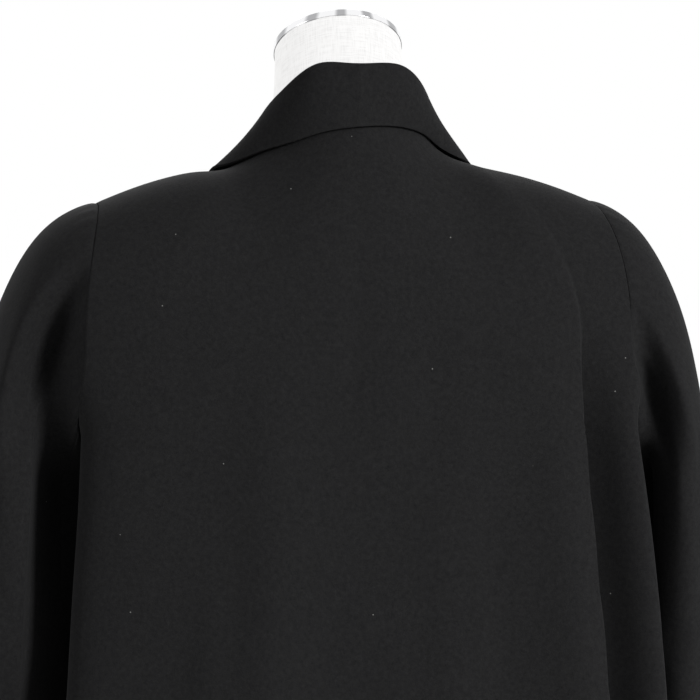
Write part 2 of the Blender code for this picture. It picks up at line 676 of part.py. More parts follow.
def make_form(material, collection):
    """The torso and neck: rounded sections from the hip to the sloping top of the neck."""
    turn = np.linspace(0, 2 * math.pi, FORM_SIDES, endpoint=False)
    rings = []
    for _, z, width, depth, middle in FORM_SECTIONS:
        rings.append(stack(width * np.sin(turn), middle + depth * np.cos(turn), z))
    span = SHOULDER_POINT[0] - NECK_POINT[0]
    for x in FORM_SHOULDER:
        top = shoulder_line(np.array((x - NECK_POINT[0]) / span))
        fall = np.where(np.cos(turn) > 0, FORM_BACK_FALL, FORM_FRONT_FALL) * np.abs(np.cos(turn)) ** 1.3
        deep = FORM_SHOULDER_BACK + FORM_SHOULDER_DEPTH * np.cos(turn)
        rings.append(settle(stack(x * np.sin(turn), deep, top[2] - CLOTH - FORM_GAP - fall)))
    base = stack(0.074 * np.sin(turn), 0.004 + 0.066 * np.cos(turn), 1.433 + 0.026 * np.cos(turn))
    circle = stack(NECK_RADIUS * np.sin(turn), NECK_RADIUS * np.cos(turn), 0)
    head = tilted(circle, NECK_TOP)
    for k in range(NECK_LEVELS + 1):
        share = k / NECK_LEVELS
        leave, arrive = np.array((0, 0, 0.05)), np.array((0, -0.04, 0.08))
        rings.append(blend(base, head, leave, arrive, share))
    rings.append(tilted(0.6 * circle, NECK_TOP))
    rings = np.array(rings)
    bm = bmesh.new()
    bmesh.ops.create_uvsphere(bm, u_segments=FORM_SIDES, v_segments=len(rings) + 1, radius=1)
    for vert in bm.verts:
        level_number = round((math.pi - math.acos(max(-1, min(1, vert.co.z)))) / math.pi * (len(rings) + 1))
        side_number = round(math.atan2(vert.co.x, vert.co.y) / (2 * math.pi) * FORM_SIDES) % FORM_SIDES
        if level_number == 0:
            vert.co = (0, 0, FORM_SECTIONS[0][1])
        elif level_number == len(rings) + 1:
            vert.co = NECK_TOP
        else:
            vert.co = rings[level_number - 1, side_number]
    return new_object("form_body", bm, material, collection, math.radians(60))


def make_neck_ring(material, collection):
    """A flat band spun round the neck's top."""
    inner = NECK_RADIUS + 0.001 - RING_WALL
    low, high = SEAM, SEAM + RING_HEIGHT
    bm = bmesh.new()
    corners = ((inner, low), (inner + RING_WALL, low), (inner + RING_WALL, high), (inner, high))
    verts = [bm.verts.new((across, 0, up)) for across, up in corners]
    edges = [bm.edges.new((verts[k], verts[(k + 1) % 4])) for k in range(4)]
    bmesh.ops.spin(
        bm, geom=edges, cent=(0, 0, 0), axis=(0, 0, 1), angle=2 * math.pi, steps=56, use_merge=True
    )
    bmesh.ops.remove_doubles(bm, verts=bm.verts[:], dist=1e-6)
    bmesh.ops.rotate(bm, verts=bm.verts[:], matrix=Matrix.Rotation(NECK_TILT, 3, "X"))
    bmesh.ops.translate(bm, verts=bm.verts[:], vec=NECK_TOP)
    return new_object("neck_ring", bm, material, collection, math.radians(40))


def make_neck_cap(material, collection):
    """A low domed cap inside the neck ring."""
    radius = NECK_RADIUS + 0.001 - RING_WALL - SEAM
    bm = bmesh.new()
    bmesh.ops.create_cone(bm, cap_ends=True, segments=40, radius1=radius, radius2=radius, depth=0.007)
    top = [f for f in bm.faces if f.normal.z > 0.9]
    for share, rise in ((0.86, 0.003), (0.72, 0.003), (0.6, 0.002)):
        grown = bmesh.ops.inset_region(bm, faces=top, thickness=radius * 0.15, use_even_offset=True)
        bmesh.ops.translate(bm, verts=list({v for f in top for v in f.verts}), vec=(0, 0, rise * share))
    bmesh.ops.translate(bm, verts=bm.verts[:], vec=(0, 0, 0.0035 + SEAM))
    bmesh.ops.rotate(bm, verts=bm.verts[:], matrix=Matrix.Rotation(NECK_TILT, 3, "X"))
    bmesh.ops.translate(bm, verts=bm.verts[:], vec=NECK_TOP)
    return new_object("neck_cap", bm, material, collection, math.radians(40))


def make_stand(material, collection):
    """The pole up to the torso and the round foot on the floor."""
    top = FORM_SECTIONS[0][1] - SEAM
    low = BASE_HEIGHT + SEAM
    bm = bmesh.new()
    bmesh.ops.create_cone(
        bm, cap_ends=True, segments=24, radius1=POLE_RADIUS, radius2=POLE_RADIUS, depth=top - low
    )
    bmesh.ops.translate(bm, verts=bm.verts[:], vec=(0, 0, (top + low) / 2))
    new_object("stand_pole", bm, material, collection, math.radians(40))
    bm = bmesh.new()
    bmesh.ops.create_cone(
        bm, cap_ends=True, segments=48, radius1=BASE_RADIUS, radius2=BASE_RADIUS, depth=BASE_HEIGHT
    )
    rim = [e for e in bm.edges if e.verts[0].co.z > 0 and e.verts[1].co.z > 0]
    bmesh.ops.bevel(bm, geom=rim, offset=0.006, segments=3, affect="EDGES", profile=0.5)
    bmesh.ops.translate(bm, verts=bm.verts[:], vec=(0, 0, BASE_HEIGHT / 2))
    new_object("stand_base", bm, material, collection, math.radians(40))


def plain_material(name, color, roughness, metallic=0.0):
    material = bpy.data.materials.new(name)
    material.use_nodes = True
    shader = material.node_tree.nodes["Principled BSDF"]
    shader.inputs["Base Color"].default_value = (*color, 1)
    shader.inputs["Roughness"].default_value = roughness
    shader.inputs["Metallic"].default_value = metallic
    return material


def main():
    for thing in list(bpy.data.objects):
        bpy.data.objects.remove(thing, do_unlink=True)
    coat = bpy.data.collections.new("chesterfield_coat_on_form")
    bpy.context.scene.collection.children.link(coat)
    wool = plain_material("black_wool", (0.02, 0.02, 0.021), 0.95)

    rows = np.concatenate(
        [
            np.linspace(0, 1, HEM_ROWS + 1),
            1 + np.arange(1, SCOOP_ROWS + 1) / SCOOP_ROWS,
            2 + np.arange(1, YOKE_ROWS + 1) / YOKE_ROWS,
        ]
    )
    armhole_rows = slice(HEM_ROWS, None)
    shoulder_u = np.arange(SHOULDER_COLUMNS + 1) / SHOULDER_COLUMNS
    neck_u = NECK_SHARE * np.arange(NECK_COLUMNS) / NECK_COLUMNS
    half_u = np.concatenate([neck_u, NECK_SHARE + (1 - NECK_SHARE) * shoulder_u])
    back_u = np.concatenate([-half_u[:0:-1], half_u])
    hole_angles = np.concatenate(
        [
            (3 - rows[armhole_rows][::-1]) * math.pi / 2,
            2 * math.pi - (3 - rows[armhole_rows][1:]) * math.pi / 2,
        ]
    )

    def left_sleeve(a, t):
        return sleeve_surface(a, t, 1)

    def right_sleeve(a, t):
        return sleeve_surface(a, t, -1)

    def left_front(u, v):
        return front_surface(u, v, 1)

    def right_front(u, v):
        return front_surface(u, v, -1)

    sleeves = {1: left_sleeve, -1: right_sleeve}
    fronts = {1: left_front, -1: right_front}
    behind = len(rows[armhole_rows])

    # Normals of the body panels, shared along every seam so that both walls meet in one mitre
    u, v = np.meshgrid(back_u, rows)
    back_points = back_surface(u, v)
    back_normals = facing(back_surface, u, v, -1)
    front_points, front_normals, hole_normals = {}, {}, {}
    u, v = np.meshgrid(shoulder_u, rows)
    for side in (1, -1):
        own = facing(fronts[side], u, v, side)
        half = back_normals[:, len(half_u) - 1 :] if side > 0 else back_normals[:, len(half_u) - 1 :: -1]
        shared = unit(own[-1] + half[-1, NECK_COLUMNS:])
        own[-1] = half[-1, NECK_COLUMNS:] = shared
        low = slice(HEM_ROWS + 1)
        own[low, -1] = half[low, -1] = unit(own[low, -1] + half[low, -1])
        on_sleeve = facing(sleeves[side], hole_angles, np.zeros_like(hole_angles), -side)
        behind_mean = unit(half[armhole_rows, -1] + on_sleeve[:behind][::-1])
        before_mean = unit(own[armhole_rows, -1] + on_sleeve[behind - 1 :])
        behind_mean[0] = before_mean[0] = unit(behind_mean[0] + before_mean[0])
        behind_mean[-1] = before_mean[-1] = unit(behind_mean[-1] + before_mean[-1])
        half[armhole_rows, -1] = behind_mean
        own[armhole_rows, -1] = before_mean
        hole_normals[side] = np.concatenate([behind_mean[::-1], before_mean[1:]])
        front_points[side] = fronts[side](u, v)
        front_normals[side] = own

    outer = set_back(back_points, ("last_row", "first_column", "last_column"))
    wall("back", outer, outer - CLOTH * back_normals, wool, coat)

    for side, word in ((1, "left"), (-1, "right")):
        outer = set_back(front_points[side], ("last_row", "last_column"))
        wall("front_" + word, outer, outer - CLOTH * front_normals[side], wool, coat)

        lengths = np.concatenate(
            [(np.arange(CAP_ROWS) / CAP_ROWS) ** 1.2, 1 + np.arange(SLEEVE_ROWS + 1) / SLEEVE_ROWS]
        )
        a, t = np.meshgrid(hole_angles, lengths)
        normals = facing(sleeves[side], a, t, -side)
        normals[0] = hole_normals[side]
        outer = sleeves[side](a, t)
        outer[0] += unit(outer[1] - outer[0]) * SEAM
        first = int(np.argmin(np.abs(hole_angles - math.radians(141))))
        last = int(np.argmin(np.abs(hole_angles - math.radians(226))))
        under = slice(first, last + 1)
        cloth = set_back(outer[:, under], ("first_row", "first_column", "last_column"))
        wall("sleeve_" + word + "_under", cloth, cloth - CLOTH * normals[:, under], wool, coat)
        over = np.concatenate([np.arange(last, len(hole_angles) - 1), np.arange(first + 1)])
        cloth = set_back(outer[:, over], ("first_row", "first_column", "last_column"))
        wall("sleeve_" + word + "_top", cloth, cloth - CLOTH * normals[:, over], wool, coat)

        low_v = LAPEL_LOW_V if side > 0 else LAPEL_LOW_V_UNDER
        cloth, normals = lapel_points(fronts[side], side, low_v)
        wall("lapel_" + word, cloth, cloth - CLOTH * normals, wool, coat)
        make_flap("flap_" + word, fronts[side], side, wool, coat)

    fine_v = np.linspace(2.0, 3.0, 41)
    u, v = np.meshgrid(np.linspace(-1, 1, 81), fine_v)
    skin = [back_surface(u, v).reshape(-1, 3)]
    skin_normals = [facing(back_surface, u, v, -1).reshape(-1, 3)]
    u, v = np.meshgrid(np.linspace(0, 1, 41), fine_v)
    for side in (1, -1):
        skin.append(fronts[side](u, v).reshape(-1, 3))
        skin_normals.append(facing(fronts[side], u, v, side).reshape(-1, 3))
    make_collar(fronts, np.concatenate(skin), np.concatenate(skin_normals), wool, coat)

    horn = plain_material("dark_horn", (0.02, 0.016, 0.014), 0.35)
    for number, z in enumerate(BUTTON_HEIGHTS):
        make_button("button_" + str(number + 1), z, horn, coat)

    make_form(plain_material("white_linen", (0.86, 0.85, 0.83), 0.85), coat)
    make_neck_ring(plain_material("bright_metal", (0.8, 0.8, 0.8), 0.12, 1.0), coat)
    make_neck_cap(plain_material("white_cap", (0.82, 0.82, 0.80), 0.5), coat)
    make_stand(plain_material("stand_paint", (0.03, 0.03, 0.03), 0.4), coat)


main()
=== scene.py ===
import math

import bpy
import numpy as np
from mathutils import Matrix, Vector


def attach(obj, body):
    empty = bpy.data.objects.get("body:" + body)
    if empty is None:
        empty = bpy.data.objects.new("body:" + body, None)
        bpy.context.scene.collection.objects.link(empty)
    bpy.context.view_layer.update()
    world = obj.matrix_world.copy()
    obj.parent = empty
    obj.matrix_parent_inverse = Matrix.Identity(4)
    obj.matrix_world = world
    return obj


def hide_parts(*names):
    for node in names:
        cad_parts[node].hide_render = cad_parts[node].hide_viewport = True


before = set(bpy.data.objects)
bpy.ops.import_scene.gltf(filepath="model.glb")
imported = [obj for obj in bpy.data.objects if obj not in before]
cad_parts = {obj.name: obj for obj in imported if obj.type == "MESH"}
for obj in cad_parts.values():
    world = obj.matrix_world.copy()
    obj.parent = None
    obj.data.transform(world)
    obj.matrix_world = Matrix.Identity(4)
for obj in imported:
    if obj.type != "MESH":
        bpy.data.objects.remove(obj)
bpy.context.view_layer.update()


# Studio
# A pale floor and white surround with large soft lamps. The camera stands behind the coat at chest
# height, ten degrees round towards its left side, and frames it from the neck to the hips.
VIEW_YAW = math.radians(10)
VIEW_DISTANCE = 2.9
VIEW_HEIGHT = 1.264
FOCAL_PIXELS = 2919
FRAME_PIXELS = 700
AXIS_COLUMN = 341
SENSOR_WIDTH = 36
LAMP_AIM = Vector((0, 0, 1.2))
SURROUND_LIGHT = (0.07, 0.07, 0.07, 1)
SURROUND_SEEN = (1, 1, 1, 1)
FLOOR_HALF = 6
FLOOR_Z = -0.001
FLOOR_COLOUR = (0.82, 0.82, 0.81, 1)

toward_camera = Vector((math.sin(VIEW_YAW), math.cos(VIEW_YAW), 0))
camera_right = Vector((-math.cos(VIEW_YAW), math.sin(VIEW_YAW), 0))
axis_point = Vector((0, 0, VIEW_HEIGHT))

lens = bpy.data.cameras.new("studio_camera")
lens.sensor_width = SENSOR_WIDTH
lens.lens = SENSOR_WIDTH * FOCAL_PIXELS / FRAME_PIXELS
lens.clip_end = 50
camera = bpy.data.objects.new("studio_camera", lens)
bpy.context.scene.collection.objects.link(camera)
camera.location = axis_point + VIEW_DISTANCE * toward_camera
sideways = (FRAME_PIXELS / 2 - AXIS_COLUMN) / FOCAL_PIXELS * VIEW_DISTANCE
looking = axis_point + sideways * camera_right - camera.location
camera.rotation_euler = looking.to_track_quat("-Z", "Y").to_euler()
bpy.context.scene.camera = camera
bpy.context.scene.view_settings.view_transform = "Standard"


def soft_lamp(name, across, up, near, size, watts):
    """A square lamp aimed at the chest, placed by metres to the camera's right, above the floor and towards
    the camera."""
    light = bpy.data.lights.new(name, "AREA")
    light.shape = "SQUARE"
    light.size = size
    light.energy = watts
    lamp = bpy.data.objects.new(name, light)
    bpy.context.scene.collection.objects.link(lamp)
    lamp.location = across * camera_right + near * toward_camera + Vector((0, 0, up))
    lamp.rotation_euler = (LAMP_AIM - lamp.location).to_track_quat("-Z", "Y").to_euler()


soft_lamp("key_lamp", across=3.0, up=2.5, near=2.6, size=1.0, watts=135)
soft_lamp("left_lamp", across=-2.6, up=2.0, near=1.6, size=1.2, watts=18)
soft_lamp("rim_lamp", across=0.0, up=3.0, near=-2.2, size=1.8, watts=14)

surround = bpy.data.worlds.new("white_surround")
bpy.context.scene.world = surround
surround.use_nodes = True
tree = surround.node_tree
seen = tree.nodes.new("ShaderNodeLightPath")
lit = tree.nodes["Background"]
lit.inputs["Color"].default_value = SURROUND_LIGHT
bare = tree.nodes.new("ShaderNodeBackground")
bare.inputs["Color"].default_value = SURROUND_SEEN
choose = tree.nodes.new("ShaderNodeMixShader")
white = tree.nodes.new("ShaderNodeMath")
white.operation = "MAXIMUM"
tree.links.new(seen.outputs["Is Camera Ray"], white.inputs[0])
tree.links.new(seen.outputs["Is Glossy Ray"], white.inputs[1])
tree.links.new(white.outputs[0], choose.inputs[0])
tree.links.new(lit.outputs[0], choose.inputs[1])
tree.links.new(bare.outputs[0], choose.inputs[2])
tree.links.new(choose.outputs[0], tree.nodes["World Output"].inputs["Surface"])

floor_mesh = bpy.data.meshes.new("studio_floor")
corners = [(x * FLOOR_HALF, y * FLOOR_HALF, FLOOR_Z) for x, y in ((-1, -1), (1, -1), (1, 1), (-1, 1))]
floor_mesh.from_pydata(corners, [], [(0, 1, 2, 3)])
floor = bpy.data.objects.new("studio_floor", floor_mesh)
bpy.context.scene.collection.objects.link(floor)
pale = bpy.data.materials.new("pale_floor")
pale.use_nodes = True
matt = pale.node_tree.nodes["Principled BSDF"]
matt.inputs["Base Color"].default_value = FLOOR_COLOUR
matt.inputs["Roughness"].default_value = 0.7
floor_mesh.materials.append(pale)


# Back
# One piece of black wool coating with a soft raised nap, cut without a centre seam. It hangs from the
# shoulder seams in long soft folds, and is sewn to the fronts at the sides and to the sleeves.
CLOTH = 0.0025
HEM_Z = 0.400
UNDERARM_Z = 1.180
YOKE_Z = 1.270
NECK_POINT = np.array((0.086, 0.004, 1.472))
SHOULDER_POINT = np.array((0.244, 0.000, 1.412))
BACK_NECK = np.array((0.000, 0.090, 1.489))
SHOULDER_RISE = 0.0058
NECK_FALL = 0.0102
NECK_DIP = 0.0166
LEFT_DROP = 0.016
LEFT_HOLLOW = 0.0055
NECK_SHARE = 0.36
SECTION_POWER = 3.6
CHEST_HALF_WIDTH = 0.240
HEM_FLARE = 0.050
YOKE_SPREAD = 0.042
BACK_DEPTH = 0.144
BACK_FLARE = 0.024
YOKE_CORNERS = 0.24
LEFT_CORNER = 0.39
RIGHT_CORNER = 0.45
FRONT_CORNERS = 0.12
FRONT_DEPTH = 0.130
FRONT_FLARE = 0.030
BACK_ARMHOLE_ANGLE = math.radians(42)
SIDE_POWER = 5
SHOULDER_LIFT = 0.24
GIRTH_Z = 0.930
SETTLE_Z = 0.95
SETTLE_RUN = 0.35
PRESS_X = 0.118
PRESS_WIDTH = 0.022
PRESS_Z = 1.38
PRESS_RUN = 0.06
WAVE_DEPTH = 0.0007
LAP_EDGE = 0.13
CREASE_RUN = 0.12
NECK_LEAN = 0.09
SHOULDER_LEAN = 0.23
NECK_STEEPNESS = 0.16
SEAM_DEPTH = 0.0006
SEAM_WIDTH = 0.0022
PRESSED_DEPTH = 0.0003
PRESSED_WIDTH = 0.008
SEAM_MARKS = np.array((0.0010, 0.0022, 0.0038))
SHOULDER_MARKS = np.array((0.0050, 0.0110, 0.0190))
SKIRT_RUN = 0.78
SCOOP_RUN = 0.13
YOKE_RUN = 0.24
ROW_STEP = 0.0080
BACK_COLUMN_STEP = 0.0036
METRES_ACROSS = 0.9
METRES_UP = 0.2
BODY_FOLDS = (
    # across, top_z, run, depth, width_right, width_left, lean
    (-0.1960, 1.34, 0.36, 0.015, 0.034, 0.036, -0.034),
    (-0.2880, 1.26, 0.30, 0.014, 0.014, 0.024, -0.010),
    (-0.0780, 1.40, 0.50, 0.004, 0.030, 0.024, 0.000),
    (0.0900, 1.40, 0.50, 0.013, 0.044, 0.036, 0.020),
    (0.1500, 1.10, 0.30, 0.007, 0.026, 0.020, 0.015),
    (0.2750, 1.22, 0.40, 0.006, 0.040, 0.022, 0.010),
    (0.3250, 1.16, 0.40, -0.010, 0.024, 0.030, 0.010),
    (0.3700, 1.10, 0.50, 0.006, 0.030, 0.030, 0.010),
    (0.4200, 1.10, 0.50, -0.010, 0.032, 0.036, 0.020),
    (0.4900, 1.05, 0.45, 0.010, 0.036, 0.032, 0.010),
    (0.5600, 1.00, 0.45, -0.009, 0.034, 0.032, 0.010),
    (-0.3500, 1.16, 0.35, 0.008, 0.032, 0.034, -0.015),
    (-0.4250, 1.10, 0.45, -0.010, 0.036, 0.032, -0.020),
    (-0.4980, 1.08, 0.50, 0.010, 0.033, 0.036, -0.010),
    (-0.5700, 0.98, 0.45, -0.008, 0.034, 0.034, -0.010),
)
BODY_LAPS = (
    # edge, top_z, run, depth, span, lean
    (-0.2188, 1.33, 0.18, 0.038, 0.062, -0.036),
)
BODY_LIFTS = (
    # across, top_z, run, depth, width_right, width_left, lean
    (-0.2850, 1.33, 0.22, 0.016, 0.016, 0.030, -0.012),
)
SOFT_CREASES = (
    # across, top_z, end_z, depth, width, lean
    (0.010, 1.42, 1.16, -0.0018, 0.016, 0.00),
    (-0.066, 1.42, 1.06, -0.0020, 0.022, -0.01),
    (0.184, 1.38, 1.20, -0.0022, 0.022, 0.00),
    (0.150, 1.12, 0.40, 0.0018, 0.018, 0.02),
    (-0.125, 1.16, 0.46, -0.0020, 0.018, -0.03),
    (-0.030, 1.04, 0.38, 0.0018, 0.020, 0.01),
    (0.045, 0.92, 0.36, -0.0022, 0.022, 0.00),
    (0.445, 1.02, 0.60, 0.0018, 0.014, 0.03),
    (0.640, 1.10, 0.46, 0.0022, 0.026, -0.02),
    (0.710, 0.86, 0.38, -0.0016, 0.022, 0.01),
    (-0.455, 0.98, 0.52, 0.0018, 0.015, -0.03),
    (-0.630, 1.08, 0.40, 0.0024, 0.028, 0.02),
    (-0.700, 0.90, 0.44, -0.0016, 0.020, 0.01),
)


def smooth(t):
    """A step from 0 to 1 with level ends: three times t squared less twice t cubed."""
    t = np.clip(t, 0, 1)
    return t * t * (3 - 2 * t)


def power(value, exponent):
    """A power of the size of a value that keeps the value's sign."""
    return np.sign(value) * np.abs(value) ** exponent


def unit(vectors):
    """Vectors divided by their lengths."""
    return vectors / np.linalg.norm(vectors, axis=-1, keepdims=True)


def stack(x, y, z):
    """Three coordinates joined into points."""
    return np.stack(np.broadcast_arrays(x, y, z), axis=-1).astype(float)


def blend(start, end, leave, arrive, t):
    """A cubic from start to end at t from 0 to 1, with the slopes leave and arrive at its ends."""
    s = 1 - t
    return s * s * (1 + 2 * t) * start + t * t * (3 - 2 * t) * end + t * s * s * leave - t * t * s * arrive


def skirt_half_width(z):
    """Half the width below the armholes: the chest's and a flare that grows towards the hem."""
    flare = np.clip((YOKE_Z - z) / (YOKE_Z - HEM_Z), 0, None) ** 1.1
    return CHEST_HALF_WIDTH + HEM_FLARE * flare


def at_yoke(z):
    """A smooth step from 0 at the underarm to 1 at the yoke."""
    return smooth((z - UNDERARM_Z) / (YOKE_Z - UNDERARM_Z))


def half_width(z):
    """Half the body's width at a height: the skirt's, and more at the yoke."""
    return skirt_half_width(z) + YOKE_SPREAD * at_yoke(z)


def corner(angle):
    """How far a corner of the body stands out beside the hanging sleeve, as a share of the width."""
    behind = np.where(np.sin(angle) > 0, LEFT_CORNER, RIGHT_CORNER)
    return np.where(np.cos(angle) > 0, behind, FRONT_CORNERS)


def yoke_corner(angle):
    """The same share at the yoke."""
    return np.where(np.cos(angle) > 0, YOKE_CORNERS, 0)


def body_depths(z):
    """How far the back and the front stand from the middle, both growing evenly to the hem."""
    flare = (YOKE_Z - z) / (YOKE_Z - HEM_Z)
    return BACK_DEPTH + BACK_FLARE * flare, FRONT_DEPTH + FRONT_FLARE * flare


def section(angle, z):
    """The plan section: a superellipse by its angle from the centre back, its corners spread out."""
    back, front = body_depths(z)
    depth = np.where(np.cos(angle) > 0, back, front)
    y = depth * power(np.cos(angle), 2 / SECTION_POWER)
    share = corner(angle) + (yoke_corner(angle) - corner(angle)) * at_yoke(z)
    spread = 1 + share * (y / depth) ** 2
    return half_width(z) * power(np.sin(angle), 2 / SECTION_POWER) * spread, y


girth_angles = np.linspace(-1.1 * math.pi, 1.1 * math.pi, 8001)
girth_steps = np.hypot(*[np.diff(c) for c in section(girth_angles, GIRTH_Z)])
girth_lengths = np.concatenate([[0], np.cumsum(girth_steps)])
girth_lengths -= girth_lengths[len(girth_angles) // 2]


def girth(angle, z):
    """The distance round the section from the centre back, as measured at one height."""
    wider = half_width(z) / skirt_half_width(z)
    squarer = 1 + ((1 + yoke_corner(angle)) / (1 + corner(angle)) - 1) * at_yoke(z)
    return np.interp(angle, girth_angles, girth_lengths) * wider * squarer


def body_fold(angle, z):
    """How far the cloth stands out: each fold is a bell across the girth that grows downwards, each lap a
    sharp drop at its edge that rises again over its span, each crease a narrower bell between two heights,
    and a slow wave keeps any stretch from lying quite flat."""
    place = girth(angle, z)
    depth = WAVE_DEPTH * np.sin(48 * place + 5 * z) * np.sin(30 * z + 9 * place)
    for across, top_z, run, fold_depth, right, left, lean in BODY_FOLDS:
        away = place - across - lean * (top_z - z)
        width = np.where(away < 0, right, left)
        depth = depth + fold_depth * smooth((top_z - z) / run) * np.exp(-((away / width) ** 2))
    for edge, top_z, run, lap_depth, span, lean in BODY_LAPS:
        beyond = (edge + lean * (top_z - z) - place) / span
        drop = smooth(beyond / LAP_EDGE) * np.clip(1 - beyond, 0, 1)
        depth = depth - lap_depth * smooth((top_z - z) / run) * drop
    for across, top_z, end_z, crease_depth, width, lean in SOFT_CREASES:
        away = place - across - lean * (top_z - z)
        reach = smooth((top_z - z) / CREASE_RUN) * smooth((z - end_z) / CREASE_RUN)
        depth = depth + crease_depth * reach * np.exp(-((away / width) ** 2))
    return depth


def body_lift(angle, z):
    """How far the cloth stands back at a corner: a bell across the girth that grows downwards."""
    place = girth(angle, z)
    back = 0 * place
    for across, top_z, run, lift, right, left, lean in BODY_LIFTS:
        away = place - across - lean * (top_z - z)
        width = np.where(away < 0, right, left)
        back = back + lift * smooth((top_z - z) / run) * np.exp(-((away / width) ** 2))
    return back


def body_point(angle, z):
    """A point of the body: its plan section, moved along the section's normal by the folds and back by the
    lifts."""
    back, front = body_depths(z)
    depth = np.where(np.cos(angle) > 0, back, front)
    lean = 2 - 2 / SECTION_POWER
    out = unit(stack(power(np.sin(angle), lean) / half_width(z), power(np.cos(angle), lean) / depth, 0 * z))
    moved = stack(*section(angle, z), z) + body_fold(angle, z)[..., None] * out
    return moved + stack(0, body_lift(angle, z), 0)


def settle(points):
    """The coat as it sits on the form: each point sinks by a share of its distance to the left, more higher
    up, and the left shoulder is pressed down in a small bell under the collar's end."""
    x, z = points[..., 0], points[..., 2]
    drop = LEFT_DROP * x * smooth((z - SETTLE_Z) / SETTLE_RUN)
    bell = np.exp(-(((x - PRESS_X) / PRESS_WIDTH) ** 2))
    pressed = LEFT_HOLLOW * bell * smooth((z - PRESS_Z) / PRESS_RUN)
    return points - stack(0, 0, drop + pressed)


def shoulder_line(t):
    """The shoulder seam: a straight line from the neck to the shoulder point, raised by half a sine wave and
    hollowed close to the neck by differences of powers of the distance left."""
    t = np.asarray(t, float)[..., None]
    left = np.clip(1 - t, 0, None)
    hollow = NECK_FALL * (1 - t - left**7) + NECK_DIP * (left**2 - left**9)
    return NECK_POINT + (SHOULDER_POINT - NECK_POINT) * t + np.array((0, 0, 1)) * (
        SHOULDER_RISE * np.sin(math.pi * t) - hollow
    )


def back_top(u):
    """The back's upper edge: a quarter oval round the neck each side, then the shoulder seam."""
    part = np.abs(u)
    turn = np.clip(part / NECK_SHARE, 0, 1) * math.pi / 2
    neck = stack(
        NECK_POINT[0] * np.sin(turn),
        NECK_POINT[1] + (BACK_NECK[1] - NECK_POINT[1]) * np.cos(turn),
        NECK_POINT[2] + (BACK_NECK[2] - NECK_POINT[2]) * np.cos(turn) ** 1.5,
    )
    seam = shoulder_line((part - NECK_SHARE) / (1 - NECK_SHARE))
    return np.where((part > NECK_SHARE)[..., None], seam, neck) * stack(np.where(u < 0, -1, 1), 1, 1)


def eased_top(u):
    """The back's upper edge with its corner at the neck rounded off: the mean of seven points along it."""
    return np.mean([back_top(u + shift) for shift in np.linspace(-0.15, 0.15, 7)], axis=0)


def level(v):
    """Height and scoop angle of a row: v to 1 rises from the hem to the underarm, and to 2 follows a quarter
    circle."""
    scoop = np.clip(v - 1, 0, 1) * math.pi / 2
    rise = np.clip(v, 0, 1) * (UNDERARM_Z - HEM_Z)
    return HEM_Z + rise + (1 - np.cos(scoop)) * (YOKE_Z - UNDERARM_Z), scoop


def back_surface(u, v):
    """The back: u from the right side to the left, v up from the hem; above v = 2 a cubic to the shoulders
    and neck."""
    u, v = np.broadcast_arrays(u, v)
    z, scoop = level(v)
    side = (math.pi / 2 - BACK_ARMHOLE_ANGLE) * (1 - np.sin(scoop))
    angle = u * BACK_ARMHOLE_ANGLE + side * power(u, SIDE_POWER)
    low = body_point(angle, z)
    flat = stack(*section(angle, z), z)
    over = smooth((np.abs(u) - 0.3 * NECK_SHARE) / (1.2 * NECK_SHARE))
    arrive = stack(0, -NECK_LEAN - SHOULDER_LEAN * over, NECK_STEEPNESS * (1 - over))
    t = (v - 2)[..., None]
    yoke = blend(flat, eased_top(u), np.array((0, 0, SHOULDER_LIFT)), arrive, t)
    yoke = yoke + (low - flat) * np.clip(1 - t, 0, 1) ** 3
    yoke = yoke + (back_top(u) - eased_top(u)) * np.clip(t, 0, None) ** 6
    return settle(np.where((v > 2)[..., None], yoke, low))


def facing(surface, u, v, sign):
    """Outward normals: the cross product of small steps along the surface's two parameters."""
    step = 1e-4
    along = surface(u + step, v) - surface(u - step, v)
    up = surface(u, v + step) - surface(u, v - step)
    return sign * unit(np.cross(along, up))


def even_steps(surface, v, start, end, spacing, close_start, close_end):
    """Values of u a set spacing apart along one row of a surface, with closer ones beside its sewn edges."""
    fine = start + (end - start) * np.linspace(0, 1, 6001)
    path = surface(fine, np.full_like(fine, v))
    length = np.concatenate([[0], np.cumsum(np.linalg.norm(np.diff(path, axis=0), axis=1))])
    marks = np.linspace(0, length[-1], int(length[-1] / spacing) + 1)
    first = SEAM_MARKS if close_start else []
    last = length[-1] - SEAM_MARKS if close_end else []
    marks = np.concatenate([marks, first, last])
    return np.interp(np.unique(marks), length, fine)


def panel_rows(spacing):
    """Values of v for a body panel: even steps to the underarm, through the scoop and over the yoke, with
    closer ones beside the shoulder seam."""
    low = np.linspace(0, 1, int(SKIRT_RUN / spacing))
    scoop = np.linspace(1, 2, int(SCOOP_RUN / spacing))[1:]
    yoke = np.linspace(2, 3, int(YOKE_RUN / spacing))[1:]
    return np.unique(np.concatenate([low, scoop, yoke, 3 - SHOULDER_MARKS]))


def seam_dip(distance):
    """How far cloth sinks towards a pressed seam: a narrow bell with a shallower, wider one."""
    narrow = SEAM_DEPTH * np.exp(-((distance / SEAM_WIDTH) ** 2))
    wide = PRESSED_DEPTH * np.exp(-((distance / PRESSED_WIDTH) ** 2))
    return -narrow - wide


